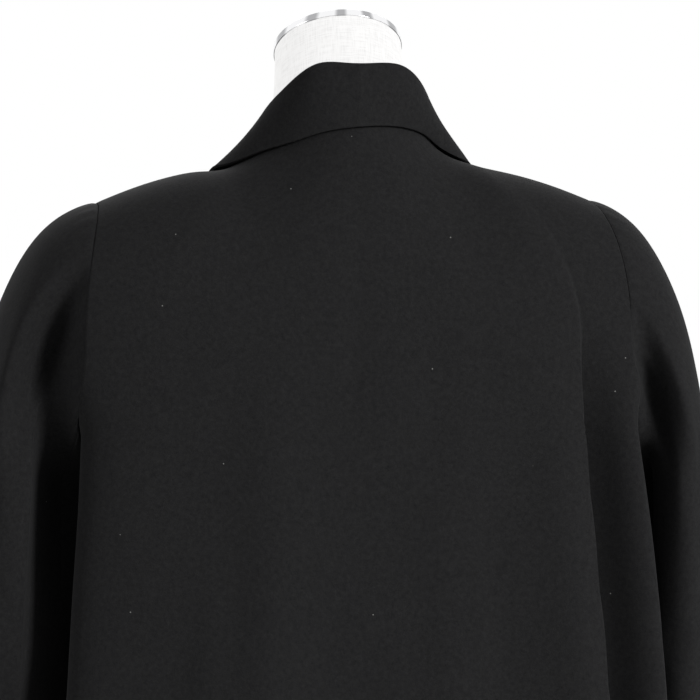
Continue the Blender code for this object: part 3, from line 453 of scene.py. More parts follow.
def cloth_piece(name, points, normals, thick, material, edge=0.0009):
    """A piece of cloth: a grid of points for its face, the same grid one thickness inside, and a band between
    their borders. Its edges are softened."""
    rows, columns = points.shape[:2]
    count = rows * columns
    places = np.concatenate([points.reshape(-1, 3), (points - thick * normals).reshape(-1, 3)])
    index = np.arange(count).reshape(rows, columns)
    face = np.stack([index[:-1, :-1], index[:-1, 1:], index[1:, 1:], index[1:, :-1]], axis=-1)
    face = face.reshape(-1, 4)
    border = np.concatenate([index[0], index[1:, -1], index[-1, -2::-1], index[-2:0:-1, 0]])
    following = np.roll(border, -1)
    band = np.stack([following, border, border + count, following + count], axis=-1)
    faces = np.concatenate([face, face[:, ::-1] + count, band])
    row, column = rows // 2, columns // 2
    across = points[row, column + 1] - points[row, column]
    along = points[row + 1, column] - points[row, column]
    if np.dot(np.cross(across, along), normals[row, column]) < 0:
        faces = faces[:, ::-1]
    mesh = bpy.data.meshes.new(name)
    mesh.from_pydata(places.tolist(), [], faces.tolist())
    mesh.shade_smooth()
    mesh.materials.append(material)
    piece = bpy.data.objects.new(name, mesh)
    bpy.context.scene.collection.objects.link(piece)
    soften = piece.modifiers.new("soft_edge", "BEVEL")
    soften.width = edge
    soften.segments = 2
    soften.limit_method = "ANGLE"
    soften.angle_limit = math.radians(55)
    return piece


def sewn_in(piece, slot, flat, area, rests_on, *nodes):
    """Fixes a cloth piece to the part in place of its solids. The size that it was cut to is not used."""
    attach(piece, "root")
    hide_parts(*nodes)


def napped_wool():
    """Black coating: noise of fine fibres and felted clumps varies its tone and raises its nap, a sheen gives
    a pale bloom at glancing angles, and stray specks of lint sit on it."""
    material = bpy.data.materials.new("black_wool")
    material.use_nodes = True
    nodes, links = material.node_tree.nodes, material.node_tree.links
    shader = nodes["Principled BSDF"]
    place = nodes.new("ShaderNodeTexCoord")

    def noise(scale, detail, roughness):
        node = nodes.new("ShaderNodeTexNoise")
        node.inputs["Scale"].default_value = scale
        node.inputs["Detail"].default_value = detail
        node.inputs["Roughness"].default_value = roughness
        links.new(place.outputs["Object"], node.inputs["Vector"])
        return node

    fibre = noise(900, 3, 0.7)
    clump = noise(240, 3, 0.6)
    tone = nodes.new("ShaderNodeMix")
    tone.data_type = "FLOAT"
    tone.inputs["Factor"].default_value = 0.45
    links.new(fibre.outputs["Fac"], tone.inputs["A"])
    links.new(clump.outputs["Fac"], tone.inputs["B"])
    dye = nodes.new("ShaderNodeValToRGB")
    dye.color_ramp.elements[0].position = 0.30
    dye.color_ramp.elements[0].color = (0.0075, 0.0075, 0.0080, 1)
    dye.color_ramp.elements[1].position = 0.72
    dye.color_ramp.elements[1].color = (0.0235, 0.0235, 0.0240, 1)
    links.new(tone.outputs["Result"], dye.inputs["Fac"])
    lint = nodes.new("ShaderNodeTexVoronoi")
    lint.inputs["Scale"].default_value = 30
    links.new(place.outputs["Object"], lint.inputs["Vector"])
    speck = nodes.new("ShaderNodeMapRange")
    speck.inputs["From Min"].default_value = 0.022
    speck.inputs["From Max"].default_value = 0.012
    links.new(lint.outputs["Distance"], speck.inputs["Value"])
    cover = nodes.new("ShaderNodeMix")
    cover.data_type = "RGBA"
    cover.inputs["B"].default_value = (0.30, 0.30, 0.29, 1)
    links.new(speck.outputs["Result"], cover.inputs["Factor"])
    links.new(dye.outputs["Color"], cover.inputs["A"])
    links.new(cover.outputs["Result"], shader.inputs["Base Color"])
    nap = nodes.new("ShaderNodeBump")
    nap.inputs["Strength"].default_value = 0.35
    nap.inputs["Distance"].default_value = 0.0009
    links.new(tone.outputs["Result"], nap.inputs["Height"])
    links.new(nap.outputs["Normal"], shader.inputs["Normal"])
    shader.inputs["Roughness"].default_value = 0.90
    shader.inputs["Specular IOR Level"].default_value = 0.11
    shader.inputs["Sheen Weight"].default_value = 0.03
    shader.inputs["Sheen Roughness"].default_value = 0.35
    shader.inputs["Sheen Tint"].default_value = (0.80, 0.80, 0.82, 1)
    return material


wool = napped_wool()
columns = even_steps(back_surface, 0.5, -1, 1, BACK_COLUMN_STEP, True, True)
u, v = np.meshgrid(columns, panel_rows(ROW_STEP))
normals = facing(back_surface, u, v, -1)
from_side = (1 - np.abs(u)) * METRES_ACROSS
from_shoulder = np.where(np.abs(u) > NECK_SHARE, (3 - v) * METRES_UP, 1)
points = back_surface(u, v) + (seam_dip(from_side) + seam_dip(from_shoulder))[..., None] * normals
back = cloth_piece("back_cloth", points, normals, CLOTH, wool)
sewn_in(back, "wool", (0.80, 1.14), 0.855, ["form_body"], "back")


# Fronts
# Two pieces of the same wool. The left one laps over the right down the middle and is buttoned there;
# above the top button each front edge becomes the roll line, where the lapel turns out.
BREAK_Z = 1.130
FRONT_LAP = 0.035
FRONT_ARMHOLE_ANGLE = math.radians(133)
LAP_SINK = 0.0037
LAP_SINK_FROM = 0.045
LAP_SINK_RUN = 0.030
ROLL_SPREAD = 0.075
NECK_SPREAD = 0.03
FRONT_LEAN = 0.28
NECK_EASE = 0.08
NECK_CLIMB = 0.14
FRONT_COLUMN_STEP = 0.0040


def front_edge_x(z):
    """Where the front edge lies: straight to the break, then a straight roll line up to the neck point."""
    rise = np.clip((z - BREAK_Z) / (NECK_POINT[2] - BREAK_Z), 0, 1)
    return -FRONT_LAP + (NECK_POINT[0] + FRONT_LAP) * rise


def front_angle(x, z):
    """The section angle, from the centre front, at which the front is x wide."""
    wide = half_width(z) * (1 + FRONT_CORNERS * (1 - at_yoke(z)))
    return np.arcsin(power(np.clip(x / wide, -1, 1), SECTION_POWER / 2))


def front_surface(u, v, side):
    """A front: u from its edge to the side seam or armhole, v up from the hem; above v = 2 a cubic to the
    shoulder. The right one sinks under the left where they lap."""
    u, v = np.broadcast_arrays(u, v)
    z, scoop = level(v)
    reach = (math.pi / 2 - FRONT_ARMHOLE_ANGLE) * (1 - np.sin(scoop))
    lap = math.pi - front_angle(front_edge_x(z), z)
    low = body_point(side * (lap + u * (FRONT_ARMHOLE_ANGLE - lap) + reach * power(u, SIDE_POWER)), z)
    if side < 0:
        low[..., 1] += LAP_SINK * smooth((low[..., 0] + FRONT_LAP + LAP_SINK_FROM) / LAP_SINK_RUN)
    near = (1 - np.clip(u, 0, 1)) ** 2
    leave = stack(side * ROLL_SPREAD * near, 0, SHOULDER_LIFT)
    arrive = stack(side * NECK_SPREAD * near, FRONT_LEAN - NECK_EASE * near, NECK_CLIMB * near)
    top = shoulder_line(u) * np.array((side, 1, 1))
    yoke = blend(low, top, leave, arrive, (v - 2)[..., None])
    return settle(np.where((v > 2)[..., None], yoke, low))


def left_front(u, v):
    """The left front's surface."""
    return front_surface(u, v, 1)


def right_front(u, v):
    """The right front's surface."""
    return front_surface(u, v, -1)


fronts = {1: left_front, -1: right_front}
for side, word in ((1, "left"), (-1, "right")):
    columns = even_steps(fronts[side], 0.5, 0, 1, FRONT_COLUMN_STEP, False, True)
    u, v = np.meshgrid(columns, panel_rows(ROW_STEP))
    normals = facing(fronts[side], u, v, side)
    dip = seam_dip((1 - u) * METRES_ACROSS) + seam_dip((3 - v) * METRES_UP)
    points = fronts[side](u, v) + dip[..., None] * normals
    front = cloth_piece("front_cloth_" + word, points, normals, CLOTH, wool)
    sewn_in(front, "wool", (0.44, 1.10), 0.395, ["form_body"], "front_" + word)


# Sleeves
# Each set-in sleeve is two pieces of the wool, a wide top sleeve and a narrow under sleeve, sewn into the
# armhole with a little ease and left open at the cuff. They hang straight, the forearm a little forward.
SLEEVE_POWER = 2.3
RIGHT_SLEEVE = 0.84
SLEEVE_SECTIONS = (
    # z, centre_x, centre_y, half_width, half_depth, powers of the left and right hollows towards the body
    (1.130, 0.3145, 0.018, 0.0600, 0.100, 0.80, 1.80),
    (1.030, 0.3200, 0.012, 0.0620, 0.098, 1.00, 2.30),
    (0.930, 0.3245, -0.004, 0.0610, 0.088, 1.30, 2.30),
    (0.830, 0.3260, -0.026, 0.0550, 0.070, 1.90, 2.30),
)
HOLLOW_COLUMN = {1: 5, -1: 6}
SLEEVE_CUT = {1: 0.030, -1: 0.010}
CUT_WINDOW = (80, 40, 130, 40)
CUT_RUN = 0.3
SLEEVE_FOLDS = {
    # angle, turn, top_t, depth, width_below, width_above, on the left sleeve and the right
    1: (
        (38, 28, 0.05, 0.007, 16, 14),
        (262, 0, 0.60, -0.005, 14, 12),
        (15, 0, 0.80, -0.003, 12, 12),
    ),
    -1: (
        (62, 26, 0.28, 0.006, 14, 12),
        (138, 0, 0.40, -0.0240, 18, 24),
        (258, 0, 0.55, -0.005, 13, 14),
        (22, 0, 0.80, -0.003, 12, 12),
    ),
}
FOLD_RUN = 0.5
SLEEVE_CREASES = (
    # angle, middle_t, length, depth, width, turn
    (60, 1.25, 0.22, -0.0020, 10, 30),
    (300, 1.35, 0.18, -0.0022, 12, -40),
    (330, 1.62, 0.20, 0.0018, 14, 26),
    (100, 1.60, 0.20, 0.0016, 12, -24),
    (20, 1.05, 0.24, 0.0016, 12, 18),
)
HIND_SEAM = math.radians(144)
FORE_SEAM = math.radians(234)
SLEEVE_SETBACK = 0.0005
CAP_FALL_FROM = {1: 45, -1: 72}
CAP_FALL_RUN = 36
CAP_FALL_SLOPE = 1.9
CAP_FRONT_SLOPE = 0.5
CAP_INNER = (112, 30, 170, 40)
CAP_FULLNESS = {1: 0.6, -1: 0.35}
CAP_FULL_ANGLE = 98
CAP_FULL_WIDTH = 18
SLEEVE_WAVE = 0.0006
EASE_DEPTH = 0.0005
METRES_ROUND = 0.065


def window(at, rise_from, rise, fall_from, fall):
    """A smooth step up from one place over a run, times a smooth step down from another."""
    return smooth((at - rise_from) / rise) * (1 - smooth((at - fall_from) / fall))


def through(table, column, at):
    """A smooth curve through one column of a table against its first: cubics with the table's own slopes."""
    keys = np.array([row[0] for row in table], float)
    values = np.array([row[column] for row in table], float)
    if keys[0] > keys[-1]:
        keys, values = keys[::-1], values[::-1]
    slopes = np.gradient(values, keys)
    at = np.clip(at, keys[0], keys[-1])
    i = np.clip(np.searchsorted(keys, at) - 1, 0, len(keys) - 2)
    span = keys[i + 1] - keys[i]
    return blend(values[i], values[i + 1], slopes[i] * span, slopes[i + 1] * span, (at - keys[i]) / span)


def armhole(angle, side):
    """The armhole by its angle: from the shoulder point down the back's edge to the underarm and up the
    front's."""
    angle = np.mod(angle, 2 * math.pi)
    behind = angle <= math.pi
    v = 3 - 2 * np.where(behind, angle, 2 * math.pi - angle) / math.pi
    back_edge = back_surface(side * np.ones_like(v), v)
    front_edge = front_surface(np.ones_like(v), v, side)
    return np.where(behind[..., None], back_edge, front_edge)


def sleeve_fold(angle, t, side):
    """How far the sleeve's cloth stands out: bells across the angle that grow downwards and turn with the
    length, short slanting creases, and a slow wave."""
    degrees = np.degrees(np.mod(angle, 2 * math.pi))
    depth = SLEEVE_WAVE * np.sin(3 * angle + 7 * t) * np.sin(9 * t)
    for middle, turn, top_t, fold_depth, below, above in SLEEVE_FOLDS[side]:
        away = (degrees - middle - turn * np.clip(t, 0, 1) + 180) % 360 - 180
        width = np.where(away < 0, below, above)
        depth = depth + fold_depth * smooth((t - top_t) / FOLD_RUN) * np.exp(-((away / width) ** 2))
    for crease_angle, middle_t, length, crease_depth, width, turn in SLEEVE_CREASES:
        run = (t - middle_t) / length
        away = (np.degrees(angle) - crease_angle - turn * run + 180) % 360 - 180
        depth = depth + crease_depth * np.exp(-(run**2) - (away / width) ** 2)
    return depth


def sleeve_section(angle, z, side):
    """A level section of the sleeve and its outward directions: a superellipse by its angle from the outer
    side through the back. Its quarter behind and towards the body has a power of its own, which hollows it,
    and is drawn forward in a window of angles, more higher up."""
    width = through(SLEEVE_SECTIONS, 3, z) * (1 if side > 0 else RIGHT_SLEEVE)
    depth = through(SLEEVE_SECTIONS, 4, z)
    hollow = (np.cos(angle) < 0) & (np.sin(angle) > 0)
    bulge = 2 / np.where(hollow, through(SLEEVE_SECTIONS, HOLLOW_COLUMN[side], z), SLEEVE_POWER)
    x = through(SLEEVE_SECTIONS, 1, z) + width * power(np.cos(angle), bulge)
    y = through(SLEEVE_SECTIONS, 2, z) + depth * power(np.sin(angle), bulge)
    degrees = np.degrees(np.mod(angle, 2 * math.pi))
    higher = smooth((z - SLEEVE_SECTIONS[-1][0]) / CUT_RUN)
    y = y - SLEEVE_CUT[side] * window(degrees, *CUT_WINDOW) * higher
    lean = 2 - 2 / SLEEVE_POWER
    out = unit(stack(power(np.cos(angle), lean) / width, power(np.sin(angle), lean) / depth, 0 * z))
    mirror = np.array((side, 1, 1))
    return settle(stack(x, y, z) * mirror), out * mirror


def sleeve_surface(angle, t, side):
    """A sleeve: t from 0 to 1 is a cubic from the armhole to the upper arm; to 2 it runs to the cuff. The
    cubic leaves outwards, most on the outer side and in a bell at the back of the arm, turns forward behind,
    and drops almost straight on the inner side. Folds move it along the section's outward directions."""
    angle, t = np.broadcast_arrays(angle, t)
    top_z, cuff_z = SLEEVE_SECTIONS[0][0], SLEEVE_SECTIONS[-1][0]
    z = top_z + (cuff_z - top_z) * np.clip(t - 1, 0, 1)
    low, out = sleeve_section(angle, z, side)
    start = armhole(angle, side)
    length = np.linalg.norm(low - start, axis=-1, keepdims=True)
    outer = (1 + np.cos(angle)) / 2
    degrees = np.degrees(np.mod(angle, 2 * math.pi))
    behind = -CAP_FALL_SLOPE * smooth((degrees - CAP_FALL_FROM[side]) / CAP_FALL_RUN)
    dip = np.where(np.sin(angle) > 0, behind, CAP_FRONT_SLOPE) * np.sin(angle) ** 2
    inner = window(degrees, *CAP_INNER)
    across = (0.45 + 0.47 * outer**1.5 - 0.15 * np.abs(np.sin(angle))) * (1 - 0.9 * inner)
    across = across + CAP_FULLNESS[side] * np.exp(-(((degrees - CAP_FULL_ANGLE) / CAP_FULL_WIDTH) ** 2))
    leave = length * stack(side * across, dip, -0.75 + 0.60 * outer - 0.25 * inner)
    arrive = length * stack(side * 0.08 * outer, -0.05, -0.97)
    cap = blend(start, low, leave, arrive, t[..., None])
    return np.where((t < 1)[..., None], cap, low) + sleeve_fold(angle, t, side)[..., None] * out


def left_sleeve(angle, t):
    """The left sleeve's surface."""
    return sleeve_surface(angle, t, 1)


def right_sleeve(angle, t):
    """The right sleeve's surface."""
    return sleeve_surface(angle, t, -1)


sleeves = {1: left_sleeve, -1: right_sleeve}
lengths = np.unique(
    np.concatenate([[0, 0.004, 0.009, 0.016], np.linspace(0, 1, 64) ** 1.2, np.linspace(1, 2, 60)])
)
near_seam = np.radians((0, 0.9, 2.0, 3.4))
whole = 2 * math.pi
top_angles = np.linspace(FORE_SEAM, HIND_SEAM + whole, 130)
under_angles = np.linspace(HIND_SEAM, FORE_SEAM, 48)
for side, word in ((1, "left"), (-1, "right")):
    for kind, angles, flat, area in (
        ("top", top_angles, (0.40, 0.64), 0.176),
        ("under", under_angles, (0.16, 0.42), 0.047),
    ):
        angles = np.unique(np.concatenate([angles, angles[0] + near_seam, angles[-1] - near_seam]))
        a, t = np.meshgrid(angles, lengths)
        normals = facing(sleeves[side], a, t, -side)
        points = sleeves[side](a, t)
        from_seam = np.minimum(a - angles[0], angles[-1] - a) * METRES_ROUND
        along = np.linalg.norm(np.diff(points, axis=0), axis=-1)
        from_armhole = np.concatenate([np.zeros((1, a.shape[1])), np.cumsum(along, axis=0)])
        points[0] += unit(points[1] - points[0]) * SLEEVE_SETBACK
        close = np.exp(-((from_armhole / 0.02) ** 2)) * smooth(from_armhole / 0.006)
        ease = EASE_DEPTH * np.sin(40 * a) * close
        points = points + (seam_dip(from_seam) + seam_dip(from_armhole) + ease)[..., None] * normals
        sleeve = cloth_piece("sleeve_cloth_" + word + "_" + kind, points, normals, CLOTH, wool)
        sewn_in(sleeve, "wool", flat, area, ["back_cloth"], "sleeve_" + word + "_" + kind)


# Collar
# One piece of wool over canvas, sewn round the neck. Its stand rises behind the neck, rolls over, and its
# fall lies on the shoulders down to the gorge, where it meets the lapels at the notch.
NECK_ROWS = 6
YOKE_ROWS = 8
GORGE_ROW = 5
COLLAR_SECTIONS = (
    # station, fold_x, fold_y, fold_z, edge_x, edge_y, edge_z
    (0.000, 0.000, 0.094, 1.5400, 0.000, 0.104, 1.4805),
    (0.222, 0.041, 0.086, 1.5395, 0.057, 0.094, 1.4780),
    (0.444, 0.068, 0.053, 1.5180, 0.091, 0.057, 1.4650),
    (0.667, 0.080, 0.003, 1.4880, 0.128, 0.010, 1.4400),
    (0.833, 0.075, -0.041, 1.4530, 0.139, -0.030, 1.4320),
    (1.000, 0.065, -0.075, 1.4120, 0.133, -0.063, 1.4210),
)
COLLAR_SHIFT = 0.0035
COLLAR_DROP = 0.095
GORGE_DROP = 0.012
COLLAR_ROLL = 0.0050
COLLAR_LOWEST = 0.0105
COLLAR_PUFFS = {1: 0.0, -1: 0.0045}
COLLAR_TUCKS = {1: 0.0, -1: 0.15}
TUCK_STATION = 0.54
TUCK_WIDTH = 0.17
PUFF_WINDOW = (0, 0.3, 0.72, 0.2)
COLLAR_CLEAR = 0.0022
RIGHT_CLOSER = 0.65
RIGHT_CLOSER_X = -0.03
RIGHT_CLOSER_RUN = 0.04
SEAM_RAISE = np.array((0, 0, 0.00045))
STAND_STEPS = 8
ROLL_STEPS = 12
FALL_STEPS = 26
LAPEL_SECTIONS = (
    # station, share of the panel's width
    (0.00, 0.020),
    (0.25, 0.070),
    (0.55, 0.155),
    (0.80, 0.262),
    (1.00, 0.385),
)
LAPEL_SLANT = 0.14
NOTCH_SHARE = 0.56
NOTCH_RISE = 0.010
NOTCH_BEND_FROM = 0.84
NOTCH_BEND_RUN = 0.16
GORGE_V = 2 + GORGE_ROW / YOKE_ROWS


def neck_seam(station, side):
    """The collar's seam: round the back neck to the neck point, then down the front's edge to the gorge."""
    place = station * (NECK_ROWS + YOKE_ROWS - GORGE_ROW)
    round_neck = side * NECK_SHARE * np.minimum(place, NECK_ROWS) / NECK_ROWS
    behind = back_surface(round_neck, np.full_like(place, 3.0))
    before = fronts[side](np.zeros_like(place), 3 - np.clip(place - NECK_ROWS, 0, None) / YOKE_ROWS)
    return np.where((place <= NECK_ROWS)[:, None], behind, before)


def eased(values, reach):
    """Values along the collar, each replaced by its neighbours' mean, weighted by a bell of this many
    steps."""
    span = 3 * reach
    weights = np.exp(-0.5 * (np.arange(-span, span + 1) / reach) ** 2)
    padded = np.concatenate([np.repeat(values[:1], span, 0), values, np.repeat(values[-1:], span, 0)])
    return sum(w * padded[k:k + len(values)] for k, w in enumerate(weights / weights.sum()))


def collar_across(seam, fold, edge, bend, puff_size):
    """The collar's upper side across: straight up the stand, a half circle over the roll, and a fall that is
    puffed out by a parabola and bent in the middle."""
    up = unit(eased(fold - (seam + edge) / 2, 5))
    out = eased(edge - seam, 5)
    out = unit(out - np.sum(out * up, axis=-1, keepdims=True) * up)
    radius = np.minimum(COLLAR_ROLL, np.linalg.norm(fold - seam, axis=-1, keepdims=True) / 2)
    middle = fold - radius * up
    start, end = middle - radius * out, middle + radius * out
    rise = (np.arange(STAND_STEPS) / STAND_STEPS)[:, None, None]
    turn = (math.pi * np.arange(ROLL_STEPS) / ROLL_STEPS)[:, None, None]
    fall = np.linspace(0, 1, FALL_STEPS + 1)[:, None, None]
    stand_part = seam + (start - seam) * rise
    roll_part = middle + radius * (up * np.sin(turn) - out * np.cos(turn))
    puff = puff_size * 4 * fall * (1 - fall) * out
    fall_part = end + (edge - end) * fall + bend * (1 - np.abs(2 * fall - 1)) + puff
    return np.concatenate([stand_part, roll_part, fall_part])


def above_skin(points):
    """Each point's height over the coat's shoulders, and the outward direction there, eased along the
    collar."""
    near = np.argmin(np.linalg.norm(points[:, None] - skin[None], axis=-1), axis=1)
    height = np.einsum("ij,ij->i", points - skin[near], skin_normals[near])
    return height, unit(eased(skin_normals[near], 4))


def widest(values, reach):
    """The largest of each value and its neighbours within this many steps."""
    padded = np.pad(values, reach, mode="edge")
    return np.max([padded[k:k + len(values)] for k in range(2 * reach + 1)], axis=0)


def grid_normals(points):
    """Normals of a grid of points: the cross product of its row and column differences."""
    return unit(np.cross(np.gradient(points, axis=1), np.gradient(points, axis=0)))


u, v = np.meshgrid(np.linspace(-0.75, 0.75, 121), np.linspace(2.3, 3.0, 41))
skin = [back_surface(u, v).reshape(-1, 3)]
skin_normals = [facing(back_surface, u, v, -1).reshape(-1, 3)]
u, v = np.meshgrid(np.linspace(0, 0.7, 41), np.linspace(2.3, 3.0, 41))
for side in (1, -1):
    skin.append(fronts[side](u, v).reshape(-1, 3))
    skin_normals.append(facing(fronts[side], u, v, side).reshape(-1, 3))
skin, skin_normals = np.concatenate(skin), np.concatenate(skin_normals)

halves = []
station = np.linspace(0, 1, 76)
for side in (1, -1):
    seam = neck_seam(station, side)
    seam_out = facing(fronts[side], np.array(0.0), np.array(GORGE_V), side)
    flat = smooth((station - 2 / 3) * 3)[:, None]
    lift = (1 - flat) * SEAM_RAISE + flat * (CLOTH + COLLAR_CLEAR) * seam_out
    mirror = np.array((side, 1, 1))
    fold = mirror * stack(*[through(COLLAR_SECTIONS, k, station) for k in (1, 2, 3)])
    edge = mirror * stack(*[through(COLLAR_SECTIONS, k, station) for k in (4, 5, 6)])
    askew = COLLAR_SHIFT * np.sin(math.pi * station)
    onward = smooth((station - 0.5) / 0.4)
    fold -= stack(askew, 0, GORGE_DROP * onward * (fold[:, 0] - askew))
    drop = COLLAR_DROP + (GORGE_DROP - COLLAR_DROP) * onward
    edge -= stack(askew, 0, drop * (edge[:, 0] - askew))
    tuck = COLLAR_TUCKS[side] * np.exp(-(((station - TUCK_STATION) / TUCK_WIDTH) ** 2))
    edge += tuck[:, None] * (fold - edge)
    share = NOTCH_SHARE * LAPEL_SECTIONS[-1][1]
    notch_place = (np.array([share]), np.array([GORGE_V + NOTCH_RISE - LAPEL_SLANT * NOTCH_SHARE]))
    notch = fronts[side](*notch_place) + (CLOTH + COLLAR_CLEAR) * facing(fronts[side], *notch_place, side)
    bent = smooth((station - NOTCH_BEND_FROM) / NOTCH_BEND_RUN) ** 2
    bend = (notch[0] - (fold[-1] + edge[-1]) / 2) * bent[:, None]
    halves.append(np.stack([seam + lift, fold, edge, bend]))
seam, fold, edge, bend = np.concatenate([halves[1][:, :0:-1], halves[0]], axis=1)
stand = np.linalg.norm(fold - seam, axis=-1, keepdims=True)
fold = seam + (fold - seam) * np.maximum(1, COLLAR_LOWEST / stand)
closer = RIGHT_CLOSER * smooth((RIGHT_CLOSER_X - fold[:, 0]) / RIGHT_CLOSER_RUN)
room = CLOTH + COLLAR_CLEAR * (1 - closer)
for _ in range(3):
    height, away = above_skin(edge)
    edge = edge + eased(room - height, 2)[:, None] * away
fullness = window(station, *PUFF_WINDOW)
fullness = np.concatenate([COLLAR_PUFFS[-1] * fullness[:0:-1], COLLAR_PUFFS[1] * fullness])
points = collar_across(seam, fold, edge, bend, fullness[:, None])
for row in range(STAND_STEPS + ROLL_STEPS + 1, len(points)):
    height, away = above_skin(points[row])
    short = eased(widest(np.clip(room - height, 0, None), 3), 2)
    points[row] = points[row] + short[:, None] * away
normals = grid_normals(points)
collar = cloth_piece("collar_cloth", points, normals, CLOTH, wool)
sewn_in(collar, "wool", (0.52, 0.12), 0.049, ["back_cloth"], "collar")


# Lapels
# The wool facings of the two fronts, turned out along the roll line. Each rises softly from the roll, lies
# on the front, and ends above in the step that makes the notch with the collar.
LAPEL_LOW_V = {1: 0.945, -1: 1.78}
LAPEL_LIFT = 0.0010
LAPEL_ROLL = 0.0045
LAPEL_THICK = 0.0016
LAPEL_INSET = 0.004
LAPEL_GORGE_GAP = 0.014
LAPEL_ROLL_START = 0.15
LAPEL_ROLL_REACH = 0.22
LAPEL_EDGE = 0.0006

for side, word, flat, area in ((1, "left", (0.20, 0.30), 0.027), (-1, "right", (0.16, 0.20), 0.016)):
    station = np.linspace(0, 1, 70)[:, None]
    across = np.linspace(0, 1, 44)[None, :]
    low_v = LAPEL_LOW_V[side]
    top = GORGE_V - LAPEL_GORGE_GAP - LAPEL_SLANT * across
    u = LAPEL_INSET + across * through(LAPEL_SECTIONS, 1, station)
    v = low_v + (top - low_v) * station
    normals = facing(fronts[side], u, v, side)
    rolling = smooth(station / LAPEL_ROLL_START) * np.exp(-((across * station / LAPEL_ROLL_REACH) ** 2))
    lift = CLOTH + LAPEL_LIFT + LAPEL_ROLL * rolling
    base = fronts[side](u, v)
    points = base + lift[..., None] * normals
    under = (math.pi * np.linspace(1, 0, 9)[:-1])[None, :, None]
    radius = lift[:, :1, None] / 2
    inward = unit(base[:, 1:2] - base[:, :1])
    start = base[:, :1] + radius * normals[:, :1]
    rolled = start + radius * (np.cos(under) * normals[:, :1] - 0.8 * np.sin(under) * inward)
    round_normals = unit(np.cos(under) * normals[:, :1] - np.sin(under) * inward)
    points = np.concatenate([rolled, points], axis=1)
    normals = np.concatenate([round_normals, normals], axis=1)
    lapel = cloth_piece("lapel_cloth_" + word, points, normals, LAPEL_THICK, wool, LAPEL_EDGE)
    sewn_in(lapel, "wool", flat, area, ["front_cloth_" + word], "lapel_" + word)


# Pocket flaps
# A flap of doubled wool over each hip pocket, sewn in along its top, with rounded lower corners.
FLAP_TOP_Z = 0.905
FLAP_DROP = 0.065
FLAP_FROM = 0.30
FLAP_TO = 0.80
FLAP_CORNER = 0.16
FLAP_LIFT = 0.0010
FLAP_SPRING = 0.0006
FLAP_THICK = 0.0022

for side, word in ((1, "left"), (-1, "right")):
    across = np.linspace(0, 1, 60)[None, :]
    down = np.linspace(0, 1, 28)[:, None]
    curve = FLAP_CORNER * (np.abs(2 * across - 1) ** 6) * FLAP_DROP
    z = FLAP_TOP_Z - down * (FLAP_DROP - curve)
    u = FLAP_FROM + (FLAP_TO - FLAP_FROM) * across
    u, v = np.broadcast_arrays(u, (z - HEM_Z) / (UNDERARM_Z - HEM_Z))
    normals = facing(fronts[side], u, v, side)
    lift = CLOTH + FLAP_LIFT + FLAP_SPRING * down + seam_dip(down * FLAP_DROP)
    points = fronts[side](u, v) + lift[..., None] * normals
    flap = cloth_piece("flap_cloth_" + word, points, normals, FLAP_THICK, wool)
    sewn_in(flap, "wool", (0.17, 0.066), 0.0105, ["front_cloth_" + word], "flap_" + word)


# Buttons
# Three dark horn buttons down the middle of the left front, each with a raised rim, a dished face and four
# holes, sewn on with a cross of black thread.
BUTTON_RADIUS = 0.0135
BUTTON_THICK = 0.0045
BUTTON_HEIGHTS = (1.105, 0.970, 0.835)
BUTTON_PROFILE = (
    # radius share, height share
    (0.00, 0.62),
    (0.45, 0.62),
    (0.62, 0.72),
    (0.74, 0.95),
    (0.84, 1.00),
    (0.94, 0.93),
    (1.00, 0.72),
    (1.00, 0.40),
    (0.95, 0.15),
    (0.80, 0.00),
    (0.40, 0.00),
    (0.00, 0.00),
)
HOLE_RADIUS = 0.0011
HOLE_PLACE = 0.0024
HOLE_DEPTH = 0.0022
BUTTON_LIFT = 0.0008
BUTTON_RINGS = 60
THREAD_RADIUS = 0.00045
THREAD_RISE = 0.0006
THREAD_DIP = 0.0016


def plain_finish(name, dark, light, scale, roughness, metallic=0.0, relief=0.0):
    """A hard finish: soft noise varies its colour between two tones and stirs its surface a little."""
    material = bpy.data.materials.new(name)
    material.use_nodes = True
    nodes, links = material.node_tree.nodes, material.node_tree.links
    shader = nodes["Principled BSDF"]
    place = nodes.new("ShaderNodeTexCoord")
    cloud = nodes.new("ShaderNodeTexNoise")
    cloud.inputs["Scale"].default_value = scale
    cloud.inputs["Detail"].default_value = 4
    links.new(place.outputs["Object"], cloud.inputs["Vector"])
    tones = nodes.new("ShaderNodeValToRGB")
    tones.color_ramp.elements[0].position = 0.35
    tones.color_ramp.elements[0].color = (*dark, 1)
    tones.color_ramp.elements[1].position = 0.68
    tones.color_ramp.elements[1].color = (*light, 1)
    links.new(cloud.outputs["Fac"], tones.inputs["Fac"])
    links.new(tones.outputs["Color"], shader.inputs["Base Color"])
    shader.inputs["Roughness"].default_value = roughness
    shader.inputs["Metallic"].default_value = metallic
    if relief:
        bump = nodes.new("ShaderNodeBump")
        bump.inputs["Strength"].default_value = 0.3
        bump.inputs["Distance"].default_value = relief
        links.new(cloud.outputs["Fac"], bump.inputs["Height"])
        links.new(bump.outputs["Normal"], shader.inputs["Normal"])
    return material


